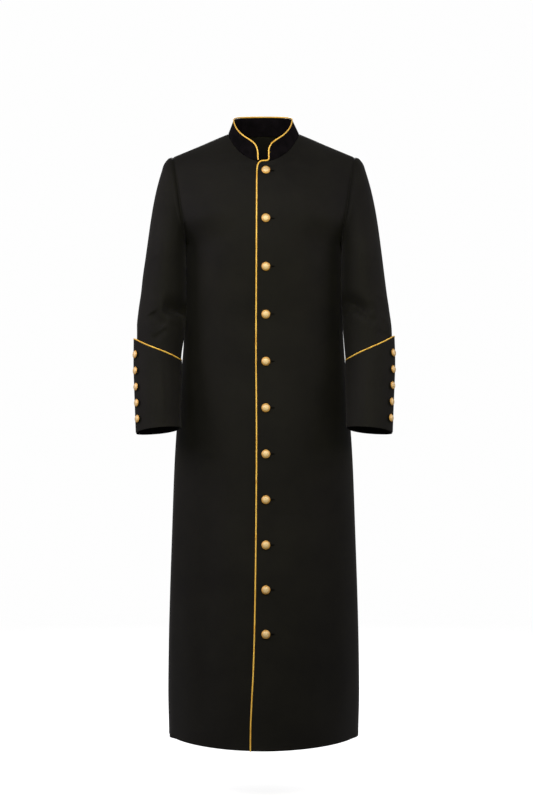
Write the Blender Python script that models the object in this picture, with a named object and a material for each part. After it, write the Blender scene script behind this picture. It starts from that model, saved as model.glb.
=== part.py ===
"""A cassock: a full-length buttoned robe with a stand collar, as it hangs when worn, and hollow.

Metres, +Z up. The front faces -Y and the wearer's left is +X. The origin lies midway between
the two sides of the neck, where the garment hangs from the shoulders. Heights in the charts
below are drops under that point, so z = -drop.
"""
import math

import bpy
import numpy as np


def chart(columns, *rows):
    """Rows of numbers under named columns, as one array for each column."""
    return dict(zip(columns.split(), np.array(rows, dtype=float).T))


# ---- driving sizes, metres ----
CLOTH = 0.0016               # thickness of the wool cloth
COLLAR_CLOTH = 0.0026        # the collar is stiffened
SEAM_GAP = 0.0005            # space left between pieces at a seam
OVERLAP_STEP = 0.0028        # how far one layer of a closing lies below the other
UNDER_SINK = (0.02, 0.07)    # x where the under front starts to rise again, and over how much
PIPING_RADIUS = 0.0017
PIPING_GAP = 0.0008          # between an edge of cloth and its piping
CUFF_PIPING_INSET = 0.0004   # how far the cuff's piping lies inside the cuff's outer face
HEM_RISE = 0.0042            # how much higher the hem hangs at the side seams
HEM_RISE_TOP = 1.15          # drop from which the rise starts
CURVE_SAMPLES = 201          # points along a curve when a place on it is looked up
SEAM_REACH = 0.002           # points of two pieces this close share a wall direction
WELD_STEP = 1e-5             # points closer than this are one
UNDERARM_DROP = 0.270
FRONT_BUTTONS = 11
FIRST_BUTTON_DROP = 0.0965
BUTTON_STEP = 0.1134         # between the first two front buttons
BUTTON_STEP_LOSS = 0.00133   # each step further down is this much shorter
BUTTON_LINE_X = 0.0052
CUFF_BUTTONS = 5

# ---- the body: lines down its centre front, centre back and side seams ----
FRONT_LINE = chart(
    "drop    depth",
    (0.0735, -0.0885),
    (0.1100, -0.1050),
    (0.1600, -0.1200),
    (0.2150, -0.1300),
    (0.2700, -0.1340),
    (0.3500, -0.1312),
    (0.4500, -0.1255),
    (0.5400, -0.1265),
    (0.6500, -0.1345),
    (0.7800, -0.1455),
    (0.9500, -0.1590),
    (1.1000, -0.1720),
    (1.2500, -0.1860),
    (1.4360, -0.2040))
BACK_LINE = chart(
    "drop     depth",
    (-0.0040, 0.0700),
    (0.0300, 0.0870),
    (0.0800, 0.1015),
    (0.1400, 0.1125),
    (0.2000, 0.1165),
    (0.2700, 0.1140),
    (0.3500, 0.1040),
    (0.4500, 0.0930),
    (0.5400, 0.0930),
    (0.6500, 0.1110),
    (0.7800, 0.1330),
    (0.9500, 0.1570),
    (1.1000, 0.1800),
    (1.2500, 0.2060),
    (1.4360, 0.2380))
# The side line also says how square each girth is: 0.55 is an ellipse, more is squarer.
SIDE_LINE = chart(
    "drop    half_width  depth    roundness",
    (0.2700, 0.1860,     -0.0080, 0.59),
    (0.3500, 0.1865,     -0.0060, 0.59),
    (0.4500, 0.1880,     -0.0020, 0.59),
    (0.5400, 0.1938,     0.0020,  0.59),
    (0.6500, 0.2036,     0.0090,  0.59),
    (0.7800, 0.2126,     0.0180,  0.58),
    (0.9500, 0.2192,     0.0300,  0.57),
    (1.1000, 0.2247,     0.0440,  0.55),
    (1.2500, 0.2288,     0.0610,  0.53),
    (1.3400, 0.2300,     0.0730,  0.515),
    (1.4360, 0.2282,     0.0850,  0.50))

# ---- the armhole, from the underarm up to the shoulder point ----
ARMHOLE = {
    "front": chart(
        "half_width  depth  drop",
        (0.1860, -0.0080, 0.2700),
        (0.1818, -0.0450, 0.2633),
        (0.1834, -0.0610, 0.2479),
        (0.1898, -0.0720, 0.2113),
        (0.1955, -0.0670, 0.1780),
        (0.1994, -0.0580, 0.1465),
        (0.2041, -0.0460, 0.1175),
        (0.2097, -0.0300, 0.0830),
        (0.2135, -0.0140, 0.0625),
        (0.2166, 0.0040, 0.0545)),
    "back": chart(
        "half_width  depth  drop",
        (0.1860, -0.0080, 0.2700),
        (0.1880, 0.0280, 0.2640),
        (0.1920, 0.0550, 0.2430),
        (0.1970, 0.0690, 0.2050),
        (0.2015, 0.0660, 0.1650),
        (0.2055, 0.0550, 0.1250),
        (0.2100, 0.0410, 0.0870),
        (0.2140, 0.0240, 0.0640),
        (0.2166, 0.0040, 0.0545))}

# How a girth line above the underarm arrives at the armhole: the share of the way up the
# armhole, the direction of the cloth there, and the pull of the line's two ends.
ARRIVAL = chart(
    "share  out    round  rise   start_pull end_pull",
    (0.00,  0.00,  1.00,  0.00,  0.50,      0.34),
    (0.14,  0.22,  0.97,  0.00,  0.48,      0.34),
    (0.25,  0.40,  0.91,  0.00,  0.46,      0.34),
    (0.36,  0.60,  0.80,  -0.02, 0.43,      0.34),
    (0.52,  0.80,  0.58,  -0.10, 0.40,      0.34),
    (0.70,  0.90,  0.33,  -0.26, 0.37,      0.34),
    (0.87,  0.92,  0.14,  -0.36, 0.35,      0.34),
    (1.00,  0.924, 0.028, -0.38, 0.333,     0.333))
UNDERARM_BLEND = 0.34        # share of the armhole over which the underarm's girth fades out
NECK_SHARE = 0.70            # share of the way up the armhole at which girth lines reach the neck
NECK_HALF_WIDTH = 0.0843
NECK_FRONT = -0.0885
NECK_BACK = 0.0700
NECK_FRONT_DROP = 0.0725
NECK_BACK_DROP = -0.0040
NECK_SAG = 1.4               # how late the front neckline climbs to the shoulder
COLLAR_START_ANGLE = 9.8     # degrees round the neck from the centre front

# ---- the front closing: where the edge of each front lies across the centre line ----
LAP_EDGE = chart(
    "drop    past",
    (0.0735, -0.0144),
    (0.0741, 0.0020),
    (0.0769, 0.0066),
    (0.0814, 0.0096),
    (0.0889, 0.0118),
    (0.0980, 0.0134),
    (0.1100, 0.0142),
    (0.1500, 0.0146),
    (0.2600, 0.0150),
    (0.5200, 0.0161),
    (0.7100, 0.0148),
    (0.9300, 0.0160),
    (1.1500, 0.0191),
    (1.2500, 0.0219),
    (1.3300, 0.0259),
    (1.3800, 0.0281),
    (1.4360, 0.0287))
UNDERLAP_EDGE = chart(
    "drop    past",
    (0.0735, -0.0144),
    (0.0765, 0.0020),
    (0.0810, 0.0160),
    (0.0870, 0.0260),
    (0.0960, 0.0320),
    (0.1100, 0.0340),
    (0.1300, 0.0340),
    (0.2000, 0.0340),
    (1.4360, 0.0340))

# ---- soft flutes in the skirt: place is the share of the way from centre to side seam ----
FLUTES = (
    dict(side=-1, face="front", place=0.800, reach=0.085, height=0.0035, top=0.70, full=1.05),
    dict(side=1, face="front", place=0.840, reach=0.110, height=0.0025, top=0.75, full=1.15),
    dict(side=-1, face="back", place=0.420, reach=0.120, height=0.0060, top=0.80, full=1.25),
    dict(side=-1, face="back", place=0.780, reach=0.090, height=0.0040, top=0.90, full=1.25),
    dict(side=1, face="back", place=0.460, reach=0.130, height=0.0050, top=0.85, full=1.30),
    dict(side=1, face="back", place=0.800, reach=0.080, height=0.0045, top=0.80, full=1.20))

# ---- the sleeve: its head over the armhole seam, then its girth lines ----
SLEEVE_HEAD = chart(
    "share  out     forward  rise     swell_out swell_forward",
    (0.00,  0.0018, 0.0000,  0.0030,  0.001,    0.000),
    (0.25,  0.0038, 0.0020,  0.0010,  0.003,    0.010),
    (0.50,  0.0095, 0.0040,  0.0000,  0.010,    0.020),
    (0.75,  0.0150, 0.0040,  -0.0030, 0.022,    0.015),
    (1.00,  0.0184, 0.0000,  -0.0140, 0.032,    0.000))
CROWN_SHARE = 0.62           # place of that top between the seam and the head's corner
CROWN_LIFT = 0.0040          # how far the top of the sleeve head stands above its seam
RAISE_SHARES = (0.8, 0.2)    # how a girth's raised outer side falls off, by the cosine and its cube
LINE_STEP = 0.01             # step down the sleeve at which its direction is taken
# Each line's last column is how much fuller the wearer's left sleeve is, and the right leaner.
SLEEVE_LINES = chart(
    "drop   centre_x centre_y half_width half_depth raise_out raise_front fuller",
    (0.300, 0.2328,  -0.0300, 0.0472,    0.0750,    0.000,    0.000,      0.0003),
    (0.345, 0.2356,  -0.0320, 0.0499,    0.0740,    0.000,    0.002,      0.0004),
    (0.385, 0.2380,  -0.0350, 0.0519,    0.0720,    0.002,    0.004,      0.0006),
    (0.425, 0.2408,  -0.0395, 0.0542,    0.0690,    0.006,    0.006,      0.0006),
    (0.460, 0.2433,  -0.0460, 0.0553,    0.0645,    0.012,    0.005,      0.0008),
    (0.500, 0.2474,  -0.0560, 0.0523,    0.0582,    0.020,    0.002,      0.0012),
    (0.545, 0.2490,  -0.0665, 0.0507,    0.0555,    0.020,    0.000,      0.0012))

# ---- the cuff, from its upper edge (0) to its hem (1) ----
CUFF_LINES = chart(
    "share  drop   centre_x centre_y half_width half_depth raise_out raise_front fuller",
    (0.00,  0.514, 0.2497,  -0.0580, 0.0567,    0.0628,    0.0244,   0.0000,      0.0012),
    (0.25,  0.560, 0.2491,  -0.0710, 0.0571,    0.0628,    0.0165,   0.0020,      0.0013),
    (0.50,  0.608, 0.2478,  -0.0840, 0.0558,    0.0614,    0.0085,   0.0040,      0.0012),
    (0.75,  0.656, 0.2465,  -0.0960, 0.0543,    0.0600,    0.0008,   0.0062,      0.0012),
    (1.00,  0.7035, 0.2450, -0.1070, 0.0534,    0.0587,    -0.0068,  0.0086,      0.0014))
PLACKET_ANGLE = 14           # degrees from outermost towards the front, edge of the top layer
PLACKET_OVERLAP = 27         # degrees that the top layer covers
PLACKET_BLEND = 45           # degrees over which the under layer sinks
CUFF_BUTTON_ANGLES = (34, 37)   # first and last button
CUFF_BUTTON_SHARES = (0.155, 0.865)
CUFF_SLOPE_STEP = (2.0, 0.02)   # degrees and share over which the cuff's slope is taken
CUFF_PIPING_RUN = 352        # degrees round the cuff

# ---- the collar's upper edge, by the angle round the neck from the centre front ----
COLLAR_TOP = chart(
    "angle  half_width depth    drop",
    (9.8,   0.0144,    -0.0826, 0.0345),
    (12.5,  0.0183,    -0.0815, 0.0335),
    (15.5,  0.0224,    -0.0796, 0.0309),
    (20.0,  0.0284,    -0.0768, 0.0259),
    (27.0,  0.0368,    -0.0718, 0.0199),
    (36.0,  0.0468,    -0.0635, 0.0124),
    (44.0,  0.0540,    -0.0550, 0.0054),
    (54.0,  0.0606,    -0.0440, -0.0032),
    (65.0,  0.0652,    -0.0320, -0.0118),
    (78.0,  0.0688,    -0.0190, -0.0215),
    (90.0,  0.0703,    -0.0070, -0.0300),
    (112.0, 0.0658,    0.0230,  -0.0385),
    (145.0, 0.0400,    0.0530,  -0.0440),
    (180.0, 0.0000,    0.0640,  -0.0460))
COLLAR_CORNER = chart(
    "angle  height",
    (9.8,   0.61),
    (10.7,  0.76),
    (12.5,  0.91),
    (15.5,  1.00),
    (180.0, 1.00))
COLLAR_LEAN = -0.0016        # how far to the wearer's right its upper edge sits
INSIDE_NECK = 0.03           # height of a point that lies well inside the neck opening

# ---- buttons: half profiles turned round their axis, radius and height off the cloth ----
FRONT_BUTTON = chart(
    "radius  height",
    (0.0026, 0.0003),
    (0.0026, 0.0022),
    (0.0088, 0.0024),
    (0.0100, 0.0034),
    (0.0094, 0.0049),
    (0.0074, 0.0064),
    (0.0042, 0.0074))
CUFF_BUTTON = chart(
    "radius  height",
    (0.0024, 0.0003),
    (0.0024, 0.0034),
    (0.0080, 0.0036),
    (0.0090, 0.0045),
    (0.0083, 0.0060),
    (0.0058, 0.0073),
    (0.0028, 0.0079))

# ---- how finely each piece is faceted ----
SKIRT_DROPS = (1.436, 1.33, 1.21, 1.09, 0.97, 0.86, 0.76, 0.68, 0.61, 0.54, 0.48, 0.42, 0.36,
               0.31, 0.27)
ARMHOLE_SHARES = {
    "front": (0.15, 0.30, 0.44, 0.54, 0.61, 0.645, 0.672, 0.688, 0.70, 0.78, 0.86, 0.93, 1.0),
    "back": (0.14, 0.28, 0.42, 0.56, 0.70, 0.80, 0.90, 1.0)}
ACROSS = (0.0, 0.07, 0.15, 0.24, 0.34, 0.45, 0.56, 0.67, 0.77, 0.86, 0.93, 1.0)
COLLAR_ANGLES = (9.8, 10.7, 12.5, 15.5, 20.0)
COLLAR_ROWS = 3
HEAD_STEPS = (0.08, 0.24, 0.44, 0.64, 0.83)
CUFF_COLUMNS = 32
CUFF_ROWS = 4
PIPING_SIDES = 6
SHARP_ANGLE = 40             # degrees between faces from which an edge looks sharp
FRONT_BUTTON_SIDES = 10
CUFF_BUTTON_SIDES = 8

FINISHES = {                 # base colour, roughness, metallic
    "wool": ((0.012, 0.012, 0.013, 1), 0.85, 0.0),
    "collar_cloth": ((0.006, 0.006, 0.007, 1), 0.9, 0.0),
    "gold_cord": ((0.72, 0.50, 0.13, 1), 0.45, 0.35),
    "gold_metal": ((0.80, 0.58, 0.20, 1), 0.3, 0.9)}


def row_slopes(key, value):
    """Slopes at a chart's rows that never let the curve swing past them."""
    step = np.diff(key)
    rise = np.diff(value) / step
    before, after = rise[:-1], rise[1:]
    weights = 2 * step[1:] + step[:-1], step[1:] + 2 * step[:-1]
    same_way = before * after > 0
    parts = weights[0] / np.where(same_way, before, 1) + weights[1] / np.where(same_way, after, 1)
    inner = np.where(same_way, (weights[0] + weights[1]) / parts, 0)
    return np.concatenate([rise[:1], inner, rise[-1:]])


def read(lines, column, where):
    """A column's value on a smooth curve through a chart's rows, ordered by the first column."""
    key = next(iter(lines.values()))
    value = lines[column]
    slope = row_slopes(key, value)
    where = np.clip(np.asarray(where, dtype=float), key[0], key[-1])
    row = np.clip(np.searchsorted(key, where, side="right") - 1, 0, len(key) - 2)
    span = key[row + 1] - key[row]
    t = (where - key[row]) / span
    through = (1 + 2 * t) * (1 - t) ** 2 * value[row] + t * t * (3 - 2 * t) * value[row + 1]
    lean = t * (1 - t) ** 2 * slope[row] + t * t * (t - 1) * slope[row + 1]
    return through + span * lean


def ease(t):
    """Rises smoothly from 0 to 1 as t does."""
    t = np.clip(t, 0, 1)
    return t * t * (3 - 2 * t)


def unit(vectors):
    return vectors / np.maximum(np.linalg.norm(vectors, axis=-1, keepdims=True), 1e-12)


def bezier(controls, t):
    """Points of a cubic Bezier curve at each t."""
    t = np.asarray(t)[:, None]
    a, b, c, d = controls
    return (1 - t) ** 3 * a + 3 * t * (1 - t) ** 2 * b + 3 * t * t * (1 - t) * c + t ** 3 * d


# ---- the body's shape ----

def armhole_point(face, share):
    """The point a share of the way up the armhole, by its length."""
    lines = ARMHOLE[face]
    points = np.stack([lines["half_width"], lines["depth"], -lines["drop"]], axis=1)
    steps = np.linalg.norm(np.diff(points, axis=0), axis=1)
    along = np.concatenate([[0], np.cumsum(steps)]) / steps.sum()
    smooth = {"along": along, "x": points[:, 0], "y": points[:, 1], "z": points[:, 2]}
    return np.array([read(smooth, axis, share) for axis in "xyz"])


def neck_point(face, angle):
    """The neckline at an angle from its centre front or back, in degrees."""
    sine = math.sin(math.radians(angle))
    cosine = max(math.cos(math.radians(angle)), 0.0)
    if face == "back":
        return np.array([NECK_HALF_WIDTH * sine, NECK_BACK * cosine, -NECK_BACK_DROP * cosine])
    start = math.cos(math.radians(COLLAR_START_ANGLE))
    drop = NECK_FRONT_DROP * (cosine / start) ** NECK_SAG
    return np.array([NECK_HALF_WIDTH * sine, NECK_FRONT * cosine, -drop])


def neck_angle(face, share):
    """Where round the neck a girth line starts, once it is above the neck's centre."""
    first = COLLAR_START_ANGLE if face == "front" else 0.0
    return first + (90 - first) * (share - NECK_SHARE) / (1 - NECK_SHARE)


def cut_short(controls, end):
    """Bezier controls of the stretch of a curve up to one of its points."""
    a, b, c, d = controls
    ab, bc, cd = a + (b - a) * end, b + (c - b) * end, c + (d - c) * end
    abc, bcd = ab + (bc - ab) * end, bc + (cd - bc) * end
    return a, ab, abc, abc + (bcd - abc) * end


def level_girth(centre, side):
    """Controls of a level girth from the centre line out to the side seam."""
    drop = max(-centre[2], UNDERARM_DROP)
    roundness = read(SIDE_LINE, "roundness", drop)
    first = np.array([roundness * side[0], 0, 0])
    last = np.array([0, roundness * (side[1] - centre[1]), 0])
    return centre, centre + first, side - last, side


def girth_line(face, level):
    """Bezier controls of a half girth line, from the centre or the neckline to the side.

    A level below 0 is metres under the underarm, and one above 0 is a share of the armhole.
    """
    line = FRONT_LINE if face == "front" else BACK_LINE
    towards_side = 1 if face == "front" else -1
    if level <= 0:
        drop = UNDERARM_DROP - level
        width = read(SIDE_LINE, "half_width", drop)
        centre = np.array([0, read(line, "depth", drop), -drop])
        side = np.array([width, read(SIDE_LINE, "depth", drop), -drop])
        return level_girth(centre, side)
    neck_drop = line["drop"][0]
    side = armhole_point(face, level)
    seam = unit(armhole_point(face, 1.0) - neck_point(face, 90))
    if level <= NECK_SHARE:
        drop = UNDERARM_DROP + (neck_drop - UNDERARM_DROP) * level / NECK_SHARE
        centre = np.array([0, read(line, "depth", drop), -drop])
        leave = np.array([1.0, 0, 0])
    else:
        centre = neck_point(face, neck_angle(face, level))
        turn = (level - NECK_SHARE) / (1 - NECK_SHARE)
        leave = unit((1 - turn) * np.array([1.0, 0, 0]) + turn * seam)
    arrive = np.array([read(ARRIVAL, "out", level),
                       towards_side * read(ARRIVAL, "round", level),
                       read(ARRIVAL, "rise", level)])
    chord = np.linalg.norm(side - centre)
    first = leave * chord * read(ARRIVAL, "start_pull", level)
    last = unit(arrive) * chord * read(ARRIVAL, "end_pull", level)
    if level >= UNDERARM_BLEND:
        return centre, centre + first, side - last, side
    underarm = armhole_point(face, 0.0)
    whole = level_girth(centre, np.array([underarm[0], underarm[1], centre[2]]))
    dense = np.linspace(0, 1, CURVE_SAMPLES)
    reach = np.interp(side[1] * towards_side, bezier(whole, dense)[:, 1] * towards_side, dense)
    cut = cut_short(whole, reach)
    blend = ease(level / UNDERARM_BLEND)
    before_side = side + cut[2] - cut[3]
    return (centre, cut[1] + (centre + first - cut[1]) * blend,
            before_side + (side - last - before_side) * blend, side)


def flute_rise(side, face, place, drop):
    """How far the skirt's flutes lift the cloth at a place across and a drop."""
    rise = np.zeros_like(place)
    for flute in FLUTES:
        if flute["side"] == side and flute["face"] == face:
            near = np.clip(1 - np.abs(place - flute["place"]) / flute["reach"], 0, 1)
            rise += flute["height"] * ease(near) * ease((drop - flute["top"])
                                                        / (flute["full"] - flute["top"]))
    return rise


def half_row(side, face, level, past):
    """A girth line's points on one side, from 'past' beyond the centre line to the side."""
    controls = girth_line(face, level)
    dense = np.linspace(0, 1, CURVE_SAMPLES)
    first = -math.copysign(1, past) * np.interp(abs(past), bezier(controls, dense)[:, 0], dense)
    t = first + (1 - first) * np.array(ACROSS)
    points = bezier(controls, np.abs(t))
    points[:, 0] *= np.where(t < 0, -1, 1)
    if level < 0:
        drop = UNDERARM_DROP - level
        middle = np.array([0, controls[3][1], controls[3][2]])
        out = unit(points - middle)
        points += out * flute_rise(side, face, t, drop)[:, None]
        risen = ease((drop - HEM_RISE_TOP) / (SKIRT_DROPS[0] - HEM_RISE_TOP))
        points[:, 2] += HEM_RISE * t * t * risen
    points[:, 0] *= side
    return points


def half_body(side, face, edge=None):
    """Grid of points of one side of the front or back, hem first, centre first."""
    levels = [UNDERARM_DROP - drop for drop in SKIRT_DROPS] + list(ARMHOLE_SHARES[face])
    rows = []
    for level in levels:
        controls = girth_line(face, level)
        past = 0.0
        if edge is not None and level <= NECK_SHARE:
            past = float(read(edge, "past", -controls[0][2]))
        start = -controls[0][0] if level > NECK_SHARE else past
        rows.append(half_row(side, face, level, start))
    return np.array(rows)


def grid_faces(rows, columns, flip):
    """Quads of a grid of points, row by row."""
    index = np.arange(rows * columns).reshape(rows, columns)
    quads = np.stack([index[:-1, :-1], index[:-1, 1:], index[1:, 1:], index[1:, :-1]], axis=-1)
    quads = quads.reshape(-1, 4)
    return quads[:, ::-1] if flip else quads


def point_normals(points, quads):
    """Unit normals at a quad mesh's points."""
    cross = np.cross(points[quads[:, 2]] - points[quads[:, 0]],
                     points[quads[:, 3]] - points[quads[:, 1]])
    normals = np.zeros_like(points)
    for corner in range(4):
        np.add.at(normals, quads[:, corner], cross)
    return unit(normals)


def pull_in(edge, inner, distance):
    """Edge points moved back towards their inner neighbours."""
    return edge + unit(inner - edge) * distance


def body_panels():
    """Points, quads and grid shape of the two fronts and the back, with seam gaps."""
    gap = SEAM_GAP / 2
    skirt = len(SKIRT_DROPS)
    grids = {
        "front_left": half_body(1, "front", LAP_EDGE),
        "front_right": half_body(-1, "front", UNDERLAP_EDGE),
        "back_left": half_body(1, "back"),
        "back_right": half_body(-1, "back")}
    sunk = grids["front_right"]
    reach = ease(1 - (-sunk[:, :, 0] - UNDER_SINK[0]) / UNDER_SINK[1])
    sunk[:, :, 1] += OVERLAP_STEP * reach
    for grid in grids.values():
        grid[:skirt, -1] = pull_in(grid[:skirt, -1], grid[:skirt, -2], gap)
        grid[-1] = pull_in(grid[-1], grid[-2], gap)
    return grids


def welded(points, quads):
    """The mesh with its coincident points made one."""
    keys = np.round(points / WELD_STEP).astype(np.int64)
    _, first, back = np.unique(keys, axis=0, return_index=True, return_inverse=True)
    back = back.reshape(-1)
    return points[first], back[quads]


def share_seam_normals(panels):
    """Give neighbouring points of different panels the same normal, so that walls stay parallel."""
    points = np.concatenate([panel["points"] for panel in panels])
    normals = np.concatenate([panel["normals"] for panel in panels])
    owner = np.concatenate([np.full(len(panel["points"]), number)
                            for number, panel in enumerate(panels)])
    apart = np.linalg.norm(points[:, None] - points[None], axis=2)
    near = (apart < SEAM_REACH) & (owner[:, None] != owner[None])
    mixed = unit(normals + near @ normals)
    for number, panel in enumerate(panels):
        panel["normals"] = mixed[owner == number]


# ---- solids ----

def add_object(name, points, faces, finish):
    """A named object from points and faces, with its finish."""
    mesh = bpy.data.meshes.new(name)
    mesh.from_pydata([tuple(p) for p in points], [], [tuple(int(i) for i in f) for f in faces])
    mesh.validate()
    mesh.update()
    mesh.materials.append(FINISH_MATERIALS[finish])
    piece = bpy.data.objects.new(name, mesh)
    bpy.context.scene.collection.objects.link(piece)
    mesh.shade_smooth()
    mesh.set_sharp_from_angle(angle=math.radians(SHARP_ANGLE))
    return piece


def cloth_wall(points, quads, inward):
    """A closed wall: the outer points, the inner ones, and a rim round each free edge."""
    count = len(points)
    across = np.linalg.norm(points[quads[:, 0]] - points[quads[:, 2]], axis=1)
    other = np.linalg.norm(points[quads[:, 1]] - points[quads[:, 3]], axis=1)
    quads = np.where((across > other)[:, None], np.roll(quads, 1, axis=1), quads)
    walls = np.concatenate([points, points + inward])
    edges = {}
    for quad in quads:
        for a, b in zip(quad, np.roll(quad, -1)):
            edges[(a, b)] = True
    rim = [(b, a, a + count, b + count) for a, b in edges if (b, a) not in edges]
    return walls, np.concatenate([quads, quads[:, [0, 3, 2, 1]] + count, np.array(rim)])


def tube(path, radius, sides):
    """A round cord along a path of points, with flat ends."""
    along = unit(np.gradient(path, axis=0))
    least = np.eye(3)[np.argmin(np.abs(along[0]))]
    side = np.empty_like(path)
    side[0] = unit(np.cross(along[0], least))
    for step in range(1, len(path)):
        before = side[step - 1]
        side[step] = unit(before - along[step] * np.dot(before, along[step]))
    other = np.cross(along, side)
    turn = np.arange(sides) * 2 * math.pi / sides
    ring = (np.cos(turn)[None, :, None] * side[:, None]
            + np.sin(turn)[None, :, None] * other[:, None])
    points = (path[:, None] + radius * ring).reshape(-1, 3)
    faces = []
    for step in range(len(path) - 1):
        for n in range(sides):
            a = step * sides + n
            b = step * sides + (n + 1) % sides
            faces.append((a, b, b + sides, a + sides))
    faces.append(tuple(range(sides))[::-1])
    last = (len(path) - 1) * sides
    faces.append(tuple(last + n for n in range(sides)))
    return points, faces


def turned(profile, sides, seat, axis):
    """A solid turned round an axis that stands on the cloth at its seat."""
    axis = unit(np.asarray(axis, dtype=float))
    across = unit(np.cross(axis, [0.0, 0.0, 1.0]))
    other = np.cross(axis, across)
    turn = np.arange(sides) * 2 * math.pi / sides
    rings = []
    for radius, height in zip(profile["radius"], profile["height"]):
        ring = np.cos(turn)[:, None] * across + np.sin(turn)[:, None] * other
        rings.append(seat + radius * ring + height * axis)
    points = np.concatenate(rings)
    faces = []
    for step in range(len(rings) - 1):
        for n in range(sides):
            a = step * sides + n
            b = step * sides + (n + 1) % sides
            faces.append((a, b, b + sides, a + sides))
    faces.append(tuple(range(sides))[::-1])
    last = (len(rings) - 1) * sides
    faces.append(tuple(last + n for n in range(sides)))
    return points, faces


# ---- sleeves, cuffs and collar ----

def sleeve_line(lines, side, row, angle):
    """A point of a sleeve or cuff girth line: 0 degrees is outermost and 90 the front."""
    cosine = np.cos(np.radians(angle))
    sine = np.sin(np.radians(angle))
    value = {name: read(lines, name, row) for name in lines}
    fuller = side * value["fuller"]
    raised = value["raise_out"] * (RAISE_SHARES[0] * cosine + RAISE_SHARES[1] * cosine ** 3)
    return np.stack([side * (value["centre_x"] + fuller + (value["half_width"] + fuller) * cosine),
                     value["centre_y"] - value["half_depth"] * sine,
                     -value["drop"] + raised + value["raise_front"] * sine], axis=-1)


def sleeve_grid(side, panels):
    """Rings of a sleeve from its armhole seam down, as a grid, with its first wall directions."""
    front = panels["front_left" if side > 0 else "front_right"]
    back = panels["back_left" if side > 0 else "back_right"]
    skirt = len(SKIRT_DROPS) - 1
    seam = np.concatenate([front["grid"][skirt:, -1], back["grid"][skirt + 1:-1, -1][::-1]])
    seam_normal = np.concatenate([front["grid_normals"][skirt:, -1],
                                  back["grid_normals"][skirt + 1:-1, -1][::-1]])
    shares = np.concatenate([[0], ARMHOLE_SHARES["front"], ARMHOLE_SHARES["back"][-2::-1]])
    forward = np.concatenate([np.ones(len(ARMHOLE_SHARES["front"]) + 1),
                              -np.ones(len(ARMHOLE_SHARES["back"]) - 1)])
    angle = 180 * (1 - shares) * forward
    along = unit(np.roll(seam, -1, axis=0) - np.roll(seam, 1, axis=0))
    into_hole = unit(np.cross(along, seam_normal))
    middle = seam.mean(axis=0)
    into_hole *= np.sign(np.sum(into_hole * (middle - seam), axis=1, keepdims=True))
    mirror = np.array([side, 1, 1])
    head = np.stack([read(SLEEVE_HEAD, "out", shares),
                     -forward * read(SLEEVE_HEAD, "forward", shares),
                     read(SLEEVE_HEAD, "rise", shares)], axis=1) * mirror
    swell = np.stack([read(SLEEVE_HEAD, "swell_out", shares),
                      -forward * read(SLEEVE_HEAD, "swell_forward", shares),
                      np.zeros_like(shares)], axis=1) * mirror
    start = seam + into_hole * SEAM_GAP
    crown = start + head * CROWN_SHARE + np.array([0, 0, CROWN_LIFT]) * ease(shares)[:, None]
    corner = start + head
    drops = SLEEVE_LINES["drop"]
    upper = sleeve_line(SLEEVE_LINES, side, drops[0], angle)
    next_line = sleeve_line(SLEEVE_LINES, side, drops[0] + LINE_STEP, angle)
    chord = upper - corner
    leave = chord + swell
    arrive = unit(next_line - upper) * np.linalg.norm(chord, axis=1, keepdims=True)
    rings = [start, crown, corner]
    for t in HEAD_STEPS:
        rings.append((1 + 2 * t) * (1 - t) ** 2 * corner + t * (1 - t) ** 2 * leave
                     + t * t * (3 - 2 * t) * upper + t * t * (t - 1) * arrive)
    rings += [sleeve_line(SLEEVE_LINES, side, drop, angle) for drop in drops]
    return np.array(rings), into_hole


def ring_quads(rows, columns, flip):
    """Quads of a grid whose rows close on themselves."""
    index = np.arange(rows * columns).reshape(rows, columns)
    after = np.roll(index, -1, axis=1)
    quads = np.stack([index[:-1], after[:-1], after[1:], index[1:]], axis=-1).reshape(-1, 4)
    return quads[:, ::-1] if flip else quads


def keep_off(inward, away):
    """Wall directions with no part that reaches back across a seam."""
    back = np.minimum(np.sum(inward * away, axis=1, keepdims=True), 0)
    return unit(inward - back * away)


def add_sleeve(name, side, panels):
    grid, into_hole = sleeve_grid(side, panels)
    rows, columns = grid.shape[:2]
    points = grid.reshape(-1, 3)
    quads = ring_quads(rows, columns, flip=side > 0)
    inward = -point_normals(points, quads)
    inward[:columns] = keep_off(inward[:columns], into_hole)
    walls, faces = cloth_wall(points, quads, inward * CLOTH)
    add_object(name, walls, faces, "wool")


def cuff_point(side, share, angle, lift=0.0):
    """A point of the cuff, lifted off it by some distance."""
    base = sleeve_line(CUFF_LINES, side, share, angle)
    out = np.stack([side * np.cos(np.radians(angle)) / read(CUFF_LINES, "half_width", share),
                    -np.sin(np.radians(angle)) / read(CUFF_LINES, "half_depth", share),
                    np.zeros_like(angle + share)], axis=-1)
    return base + unit(out) * np.asarray(lift)[..., None]


def cuff_angles():
    """Angles round the cuff's strip, from its top layer's edge to its under layer's."""
    last = PLACKET_ANGLE + 360 + PLACKET_OVERLAP
    return np.linspace(PLACKET_ANGLE, last, CUFF_COLUMNS + 1)


def add_cuff(name, side):
    angle = cuff_angles()
    sink = OVERLAP_STEP * ease((angle - (PLACKET_ANGLE + 360 - PLACKET_BLEND)) / PLACKET_BLEND)
    shares = np.linspace(0, 1, CUFF_ROWS + 1)
    grid = np.array([cuff_point(side, share, angle, -sink) for share in shares])
    points = grid.reshape(-1, 3)
    quads = grid_faces(*grid.shape[:2], flip=side < 0)
    inward = -point_normals(points, quads)
    walls, faces = cloth_wall(points, quads, inward * CLOTH)
    add_object(name, walls, faces, "wool")


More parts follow.
